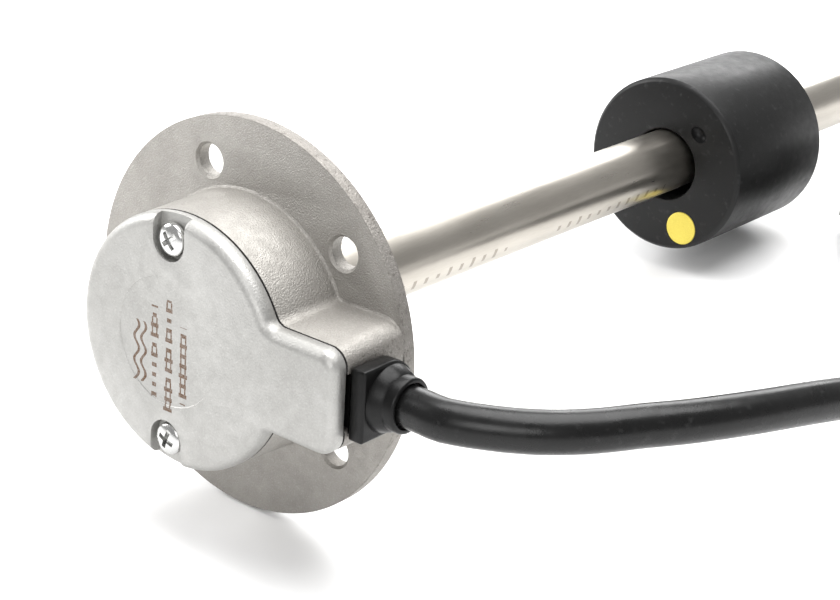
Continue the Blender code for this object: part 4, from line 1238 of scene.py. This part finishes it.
@dataclass
class Plug:
    """The five-pin plug on the lead's end."""

    maker: Maker
    rubber: Finish
    nickel: Finish
    plastic: Finish
    start: float = 29.3 * MM
    sleeve_radius: float = 7.0 * MM

    def build_moulding(self) -> None:
        """Model the moulded body with its ribbed strain relief."""
        make = self.maker
        relief = []
        for step in range(4):
            base = (1.0 + step * 1.9) * MM
            radius = (4.5 + 0.28 * step) * MM
            relief += [(radius, base), (radius, base + 1.1 * MM), (radius - 0.45 * MM, base + 1.25 * MM),
                       (radius - 0.45 * MM, base + 1.75 * MM)]
        body = make.lathe("plug_overmould", [
            (3.8 * MM, 0.3 * MM), (3.8 * MM, -1.9 * MM), (3.9 * MM, -2.0 * MM), (4.3 * MM, -2.0 * MM),
            (4.5 * MM, -1.8 * MM), (4.5 * MM, 0.0), *relief, (5.6 * MM, 8.9 * MM), (6.0 * MM, 9.3 * MM),
            (6.2 * MM, 10.0 * MM), (6.2 * MM, 27.6 * MM), (6.1 * MM, 28.2 * MM), (5.6 * MM, 29.0 * MM),
            (4.5 * MM, 29.0 * MM), (4.5 * MM, 42.0 * MM)], 72)
        for side in (1.0, -1.0):
            low, high = sorted((side * 5.75 * MM, side * 7.5 * MM))
            flat = make.block("flat", (-7.0 * MM, low, 13.0 * MM), (7.0 * MM, high, 24.0 * MM))
            make.combine(body, flat, Combine.CARVE)
        make.soften(body, 0.15 * MM, 2, 50.0)
        make.hand_over(body, Body.SENDER, self.rubber, ["plug_moulding"], 40.0)

    def build_sleeve(self) -> None:
        """Model the turning sleeve with its ribbed grip and thread."""
        make = self.maker
        start, grip = self.start, self.sleeve_radius
        thread = []
        for step in range(7):
            base = start + (10.0 + step) * MM
            thread += [(5.55 * MM, base), (5.9 * MM, base + 0.4 * MM), (5.9 * MM, base + 0.55 * MM)]
        sleeve = make.ring("plug_sleeve_turned", [
            (4.8 * MM, start), (6.6 * MM, start), (grip, start + 0.4 * MM), (grip, start + 9.1 * MM),
            (6.6 * MM, start + 9.5 * MM), (5.55 * MM, start + 9.5 * MM), *thread,
            (5.4 * MM, start + 17.0 * MM), (4.8 * MM, start + 17.0 * MM)], 96)
        for index in range(24):
            turn = math.radians(index * 15.0)
            rib = make.block("rib", (-0.5 * MM, -0.45 * MM, start + 0.8 * MM),
                             (0.2 * MM, 0.45 * MM, start + 8.7 * MM))
            rib.location = (grip * math.cos(turn), grip * math.sin(turn), 0.0)
            rib.rotation_euler.z = turn
            make.combine(sleeve, rib, Combine.JOIN)
        make.soften(sleeve, 0.08 * MM, 1, 50.0)
        make.hand_over(sleeve, Body.SLEEVE, self.nickel, ["plug_sleeve"], 40.0)

    def build_insert(self) -> None:
        """Model the insert with its shroud and pin seats."""
        make = self.maker
        insert = make.lathe("plug_pin_carrier", [
            (4.5 * MM, 42.3 * MM), (4.5 * MM, 51.1 * MM), (4.35 * MM, 51.3 * MM), (4.1 * MM, 51.3 * MM),
            (3.95 * MM, 51.15 * MM), (3.95 * MM, 44.8 * MM)], 72)
        spots = [(0.0, 0.0)] + [(2.5 * MM * math.cos(a), 2.5 * MM * math.sin(a))
                                for a in [math.radians(45.0 + 90.0 * step) for step in range(4)]]
        for spot in spots:
            seat = make.lathe("seat", [(0.65 * MM, 43.6 * MM), (0.65 * MM, 46.0 * MM)], 24, spot)
            make.combine(insert, seat, Combine.CARVE)
        make.hand_over(insert, Body.SENDER, self.plastic, ["plug_insert"], 40.0)

    def build(self) -> None:
        """Model and dress the plug."""
        self.build_moulding()
        self.build_sleeve()
        self.build_insert()


@dataclass
class Lead:
    """The cable: loose from the grommet, coiled beside the stem, and its tie."""

    sender: Matrix
    sheath: Finish
    strap: Finish
    radius: float = 3.5 * MM
    coil_centre: Spot = (67.0 * MM, 38.9 * MM)
    wide: float = 42.1 * MM
    narrow: float = 34.9 * MM
    low: float = 4.6 * MM
    high: float = 11.8 * MM
    tie_turn: float = 200.0
    exit_level: float = -9.6 * MM
    exit_reaches: tuple[float, ...] = (40.9, 44.4, 48.3)
    loose: tuple[Point, ...] = (
        (0.0559, -0.1449, 0.0348), (0.0619, -0.1405, 0.0345), (0.0667, -0.1347, 0.0340),
        (0.0706, -0.1283, 0.0335), (0.0742, -0.1218, 0.0327), (0.0773, -0.1149, 0.0318),
        (0.0798, -0.1079, 0.0307), (0.0818, -0.1007, 0.0294), (0.0836, -0.0934, 0.0279),
        (0.0853, -0.0860, 0.0260), (0.0870, -0.0780, 0.0235), (0.0893, -0.0690, 0.0203),
        (0.0922, -0.0590, 0.0165), (0.0959, -0.0480, 0.0122), (0.0999, -0.0365, 0.0082),
        (0.1037, -0.0250, 0.0056), (0.1067, -0.0140, 0.0047), (0.1086, -0.0050, 0.0046),
        (0.1091, 0.0020, 0.0046), (0.1091, 0.0120, 0.0046), (0.1091, 0.0260, 0.0046),
    )
    tail: tuple[Point, ...] = (
        (0.1091, 0.0520, 0.0118), (0.1091, 0.0640, 0.0118), (0.1091, 0.0740, 0.0119),
        (0.1091, 0.0790, 0.0118), (0.1091, 0.0850, 0.0104), (0.1091, 0.0895, 0.0084),
        (0.1091, 0.0935, 0.0075), (0.1091, 0.0985, 0.0075),
    )

    @staticmethod
    def ease(value: float, start: float, end: float) -> float:
        """A smooth step from 0 to 1.

        Args:
            value: The position.
            start: Where the step starts.
            end: Where it ends.

        Returns:
            The step's height there.
        """
        part = min(max((value - start) / (end - start), 0.0), 1.0)
        return part * part * (3.0 - 2.0 * part)

    def coil(self) -> list[Point]:
        """The coil's centreline: two turns on the bench and one on top of them.

        Returns:
            Points in the row frame, 24 to a turn.
        """
        points = []
        for step in range(73):
            turns = 2.0 * step / 24.0
            inward = self.ease(turns, 1.6, 2.0) - self.ease(turns, 4.1, 5.4)
            radius = self.wide - (self.wide - self.narrow) * inward
            height = self.low + (self.high - self.low) * self.ease(turns, 2.9, 3.5)
            angle = turns * math.pi
            points.append((self.coil_centre[0] + radius * math.cos(angle),
                           self.coil_centre[1] + radius * math.sin(angle), height))
        return points

    def route(self) -> list[Vector]:
        """The whole centreline, from the grommet to the plug.

        Returns:
            Closely spaced points on one smooth curve.
        """
        starts = [self.sender @ Vector((x * MM, self.exit_level, 0.0)) for x in self.exit_reaches]
        anchors = starts + [Vector(point) for point in (*self.loose, *self.coil(), *self.tail)]
        ends = [anchors[0] * 2.0 - anchors[1], *anchors, anchors[-1] * 2.0 - anchors[-2]]
        line = []
        for before, start, end, after in zip(ends, ends[1:], ends[2:], ends[3:]):
            span = (end - start).length
            into = (end - before) * (span / max((end - before).length, 1e-9))
            out = (after - start) * (span / max((after - start).length, 1e-9))
            count = max(2, round(span / (2.0 * MM)))
            for step in range(count):
                t = step / count
                line.append(start * (2 * t ** 3 - 3 * t ** 2 + 1) + into * (t ** 3 - 2 * t ** 2 + t)
                            + end * (3 * t ** 2 - 2 * t ** 3) + out * (t ** 3 - t ** 2))
        line.append(anchors[-1])
        return line

    def build_cable(self) -> None:
        line = self.route()
        data = bpy.data.curves.new("lead_cable", "CURVE")
        data.dimensions = "3D"
        data.bevel_depth = self.radius
        data.bevel_resolution = 7
        data.use_fill_caps = True
        spline = data.splines.new("POLY")
        spline.points.add(len(line) - 1)
        for point, place in zip(spline.points, line):
            point.co = (*place, 1.0)
        spline.use_smooth = True
        cable = bpy.data.objects.new("lead_cable", data)
        bpy.context.scene.collection.objects.link(cable)
        data.materials.append(Wardrobe.material(self.sheath))
        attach(cable, Body.SENDER.value)
        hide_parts("cable_lead", "cable_coil", "cable_tail")

    def build_tie(self) -> Piece:
        """Model the strap round the coil.

        Returns:
            The strap.
        """
        turn = Matrix.Rotation(math.radians(self.tie_turn), 4, "Z")
        place = Matrix.Translation((*self.coil_centre, 0.0)) @ turn
        make = Maker(place, axis_to_y=False)
        middle = (self.wide + self.narrow) / 2.0
        half, floor, roof = 7.45 * MM, 0.4 * MM, 15.7 * MM
        band = make.block("coil_strap", (middle - half, -3.0 * MM, floor), (middle + half, 3.0 * MM, roof))

        def along(a: Vector, b: Vector) -> bool:
            """Whether an edge runs along the coil."""
            return abs(a.y - b.y) > 5.0 * MM

        make.bevel(band, along, 3.4 * MM, 6)
        make.select_faces(band, lambda middle, normal: abs(normal.y) > 0.9)
        bpy.ops.mesh.delete(type="FACE")
        bpy.ops.object.mode_set(mode="OBJECT")
        wall = band.modifiers.new("wall", "SOLIDIFY")
        wall.thickness = 0.7 * MM
        wall.offset = 0.0
        bpy.ops.object.modifier_apply(modifier=wall.name)
        buckle = make.block("buckle", (middle + half - 0.4 * MM, -3.3 * MM, 6.0 * MM),
                            (middle + half + 1.0 * MM, 3.3 * MM, 10.2 * MM))
        make.combine(band, buckle, Combine.JOIN)
        make.soften(band, 0.15 * MM, 2, 50.0)
        return make.hand_over(band, Body.SENDER, self.strap, ["coil_tie"], 40.0)


@dataclass
class Electronics:
    """The boards, reed switches, magnet, gasket, conductors and pins, kept as they stand in the frame."""

    dressing: dict[str, Finish]

    def build(self) -> None:
        """Dress every node that no new piece stands for."""
        for name, node in frame["nodes"].items():
            finish = next((self.dressing[key] for key in self.dressing if name.startswith(key)), None)
            if finish is None:
                continue
            node.data.materials.clear()
            node.data.materials.append(Wardrobe.material(finish))
            LOG.info("%s: dressed with %s", name, finish.name)


# Surroundings

@dataclass
class Studio:
    """The bench, the lights and the camera."""

    camera_place: Point = (0.2222, -0.36606, 0.19039)
    heading: float = 39.45
    dip: float = 25.86
    roll: float = 0.2
    lens: float = 90.0
    floor_level: float = -0.0002
    room_glow: float = 0.45
    aim: Point = (0.0, -0.05, 0.03)

    def build_floor(self) -> None:
        """Lay a wide pale bench top under the object."""
        Maker.deselect()
        bpy.ops.mesh.primitive_plane_add(size=8.0, location=(0.0, 0.0, self.floor_level))
        floor = bpy.context.object
        floor.name = "bench_top"
        wiring = Wiring("bench_white")
        tone = wiring.spread(wiring.noise(0.4, 2.0), 0.0, 1.0)
        white = wiring.blend(tone, (0.86, 0.86, 0.86), (0.90, 0.90, 0.90))
        wiring.feed(wiring.shader.inputs["Base Color"], white)
        wiring.feed(wiring.shader.inputs["Roughness"], wiring.spread(wiring.noise(0.02, 2.0), 0.35, 0.5))
        floor.data.materials.append(wiring.material)

    def build_lights(self) -> None:
        """Set a bright room and four soft boxes."""
        bpy.context.scene.view_settings.view_transform = "Standard"
        world = bpy.data.worlds.new("studio")
        world.use_nodes = True
        back = world.node_tree.nodes["Background"]
        back.inputs["Color"].default_value = (1.0, 1.0, 1.0, 1.0)
        back.inputs["Strength"].default_value = self.room_glow
        bpy.context.scene.world = world
        boxes = (
            ("top_box", (0.05, 0.15, 0.95), (0.9, 0.9), 17.0),
            ("left_box", (-0.95, -0.35, 0.55), (0.7, 0.6), 10.0),
            ("front_box", (0.55, -1.05, 0.65), (0.5, 0.5), 5.0),
            ("back_box", (-0.60, 0.80, 0.45), (0.9, 0.5), 7.5),
        )
        for name, place, size, power in boxes:
            lamp = bpy.data.lights.new(name, "AREA")
            lamp.shape = "RECTANGLE"
            lamp.size, lamp.size_y = size
            lamp.energy = power
            box = bpy.data.objects.new(name, lamp)
            box.location = place
            aim = Vector(self.aim) - Vector(place)
            box.rotation_euler = aim.to_track_quat("-Z", "Y").to_euler()
            bpy.context.scene.collection.objects.link(box)

    def build_camera(self) -> None:
        """Stand the camera at the front right, looking down along the stem."""
        lens = bpy.data.cameras.new("camera")
        lens.lens = self.lens
        lens.sensor_width = 36.0
        lens.clip_start = 0.01
        camera = bpy.data.objects.new("camera", lens)
        turn = (Matrix.Rotation(math.radians(self.heading), 4, "Z")
                @ Matrix.Rotation(math.radians(90.0 - self.dip), 4, "X")
                @ Matrix.Rotation(math.radians(self.roll), 4, "Z"))
        camera.matrix_world = Matrix.Translation(self.camera_place) @ turn
        bpy.context.scene.collection.objects.link(camera)
        bpy.context.scene.camera = camera

    def build(self) -> None:
        """Set up the surroundings."""
        self.build_floor()
        self.build_lights()
        self.build_camera()


def steel(name: str, slot: str, kind: type[Finish], place: Matrix, **changes: object) -> Finish:
    """A stainless steel finish.

    Args:
        name: The finish's name.
        slot: The record's material slot.
        kind: The finish's class.
        place: The frame that its pattern follows.
        changes: Fields that differ from the usual ones.

    Returns:
        The finish.
    """
    usual = {"dark": (0.31, 0.295, 0.275), "light": (0.43, 0.415, 0.39), "gloss": (0.54, 0.68),
             "metallic": 1.0}
    return kind(name=name, slot=slot, frame=place, **{**usual, **changes})


def main() -> None:
    """Build the sender's pieces in order and dress the rest."""
    logging.basicConfig(level=logging.INFO, format="%(message)s")
    place = sender_matrix(frame["joints"])
    make = Maker(place)
    cast = steel("cast_steel", "cast_steel", CastFinish, place, grain=0.3 * MM, grain_depth=0.16 * MM)
    satin = steel("cover_steel", "brushed_steel", EngravedFinish, place, dark=(0.37, 0.365, 0.35),
                  light=(0.47, 0.465, 0.45), gloss=(0.46, 0.58), grain=0.35 * MM, grain_depth=0.06 * MM)
    tube = steel("stem_steel", "stem_steel", TubeFinish, place, dark=(0.44, 0.41, 0.365),
                 light=(0.52, 0.49, 0.44), gloss=(0.27, 0.34), stretch=(1.0, 0.1, 1.0),
                 grain_depth=0.003 * MM, lump_depth=0.002 * MM)
    bright = steel("screw_steel", "screw_steel", Finish, place, dark=(0.50, 0.50, 0.49),
                   light=(0.64, 0.64, 0.63), gloss=(0.16, 0.28), grain_depth=0.004 * MM,
                   lump_depth=0.004 * MM)
    rubber = Finish("grommet_rubber", "black_rubber", (0.002, 0.002, 0.002), (0.005, 0.005, 0.005),
                    (0.28, 0.42), sheen=0.22)
    sheath = SheathFinish("cable_sheath", "cable_black", (0.003, 0.003, 0.003), (0.006, 0.006, 0.006),
                          (0.24, 0.34), sheen=0.3, scuff=(0.035, 0.035, 0.035), lump=3.5 * MM,
                          lump_depth=0.05 * MM)
    foam = SheathFinish("float_black", "float_black", (0.006, 0.006, 0.006), (0.011, 0.011, 0.011),
                        (0.36, 0.46), sheen=0.22, grain=0.18 * MM, scuff=(0.05, 0.05, 0.05))
    paint = Finish("dot_paint", "marker_yellow", (0.58, 0.45, 0.05), (0.76, 0.63, 0.10), (0.45, 0.6),
                   lump=0.8 * MM)
    nickel = steel("plug_nickel", "nickel_plate", Finish, Matrix(), dark=(0.50, 0.48, 0.45),
                   light=(0.62, 0.60, 0.57), gloss=(0.18, 0.28))
    plastic = Finish("plug_plastic", "chip_black", (0.018, 0.018, 0.018), (0.035, 0.035, 0.035), (0.4, 0.55))

    Studio().build()
    axis = Matrix.Translation((109.1 * MM, 98.5 * MM, 7.5 * MM))
    lead = Lead(place, sheath, rubber)
    strap = lead.build_tie()
    Plug(Maker(axis), rubber, nickel, plastic).build()
    Grommet(make, rubber).build()
    lead.build_cable()
    Housing(make, cast, satin, bright).build()
    Stem(make, tube, bright).build()
    floating = Maker(place @ Matrix.Translation((0.0, FloatSet.start, -FloatSet.sag)))
    FloatSet(floating, foam, paint).build()
    Electronics({
        "cover_gasket": rubber,
        "float_magnet": Finish("ferrite", "magnet_grey", (0.05, 0.05, 0.055), (0.10, 0.10, 0.11),
                               (0.4, 0.6), 0.3),
        "main_board": BoardFinish("board", "board_green", MASK_DARK, MASK_LIGHT, (0.3, 0.45)),
        "reed_strip": BoardFinish("strip", "board_green", MASK_DARK, MASK_LIGHT, (0.3, 0.45)),
        "reed_switch": Finish("reed_glass", "reed_glass", (0.25, 0.38, 0.26), (0.40, 0.55, 0.40),
                              (0.05, 0.12), clear=0.6),
        "controller_chip": plastic,
        "supply_chip": plastic,
        "lead_terminal": plastic,
        "inner_conductor": Finish("core_red", "conductor_red", (0.50, 0.05, 0.03), (0.72, 0.10, 0.07),
                                  (0.35, 0.5)),
        "plug_pin": Finish("gold", "gold_plate", (0.75, 0.50, 0.18), (0.90, 0.68, 0.32), (0.2, 0.3), 1.0),
    }).build()


if __name__ == "__main__":
    main()
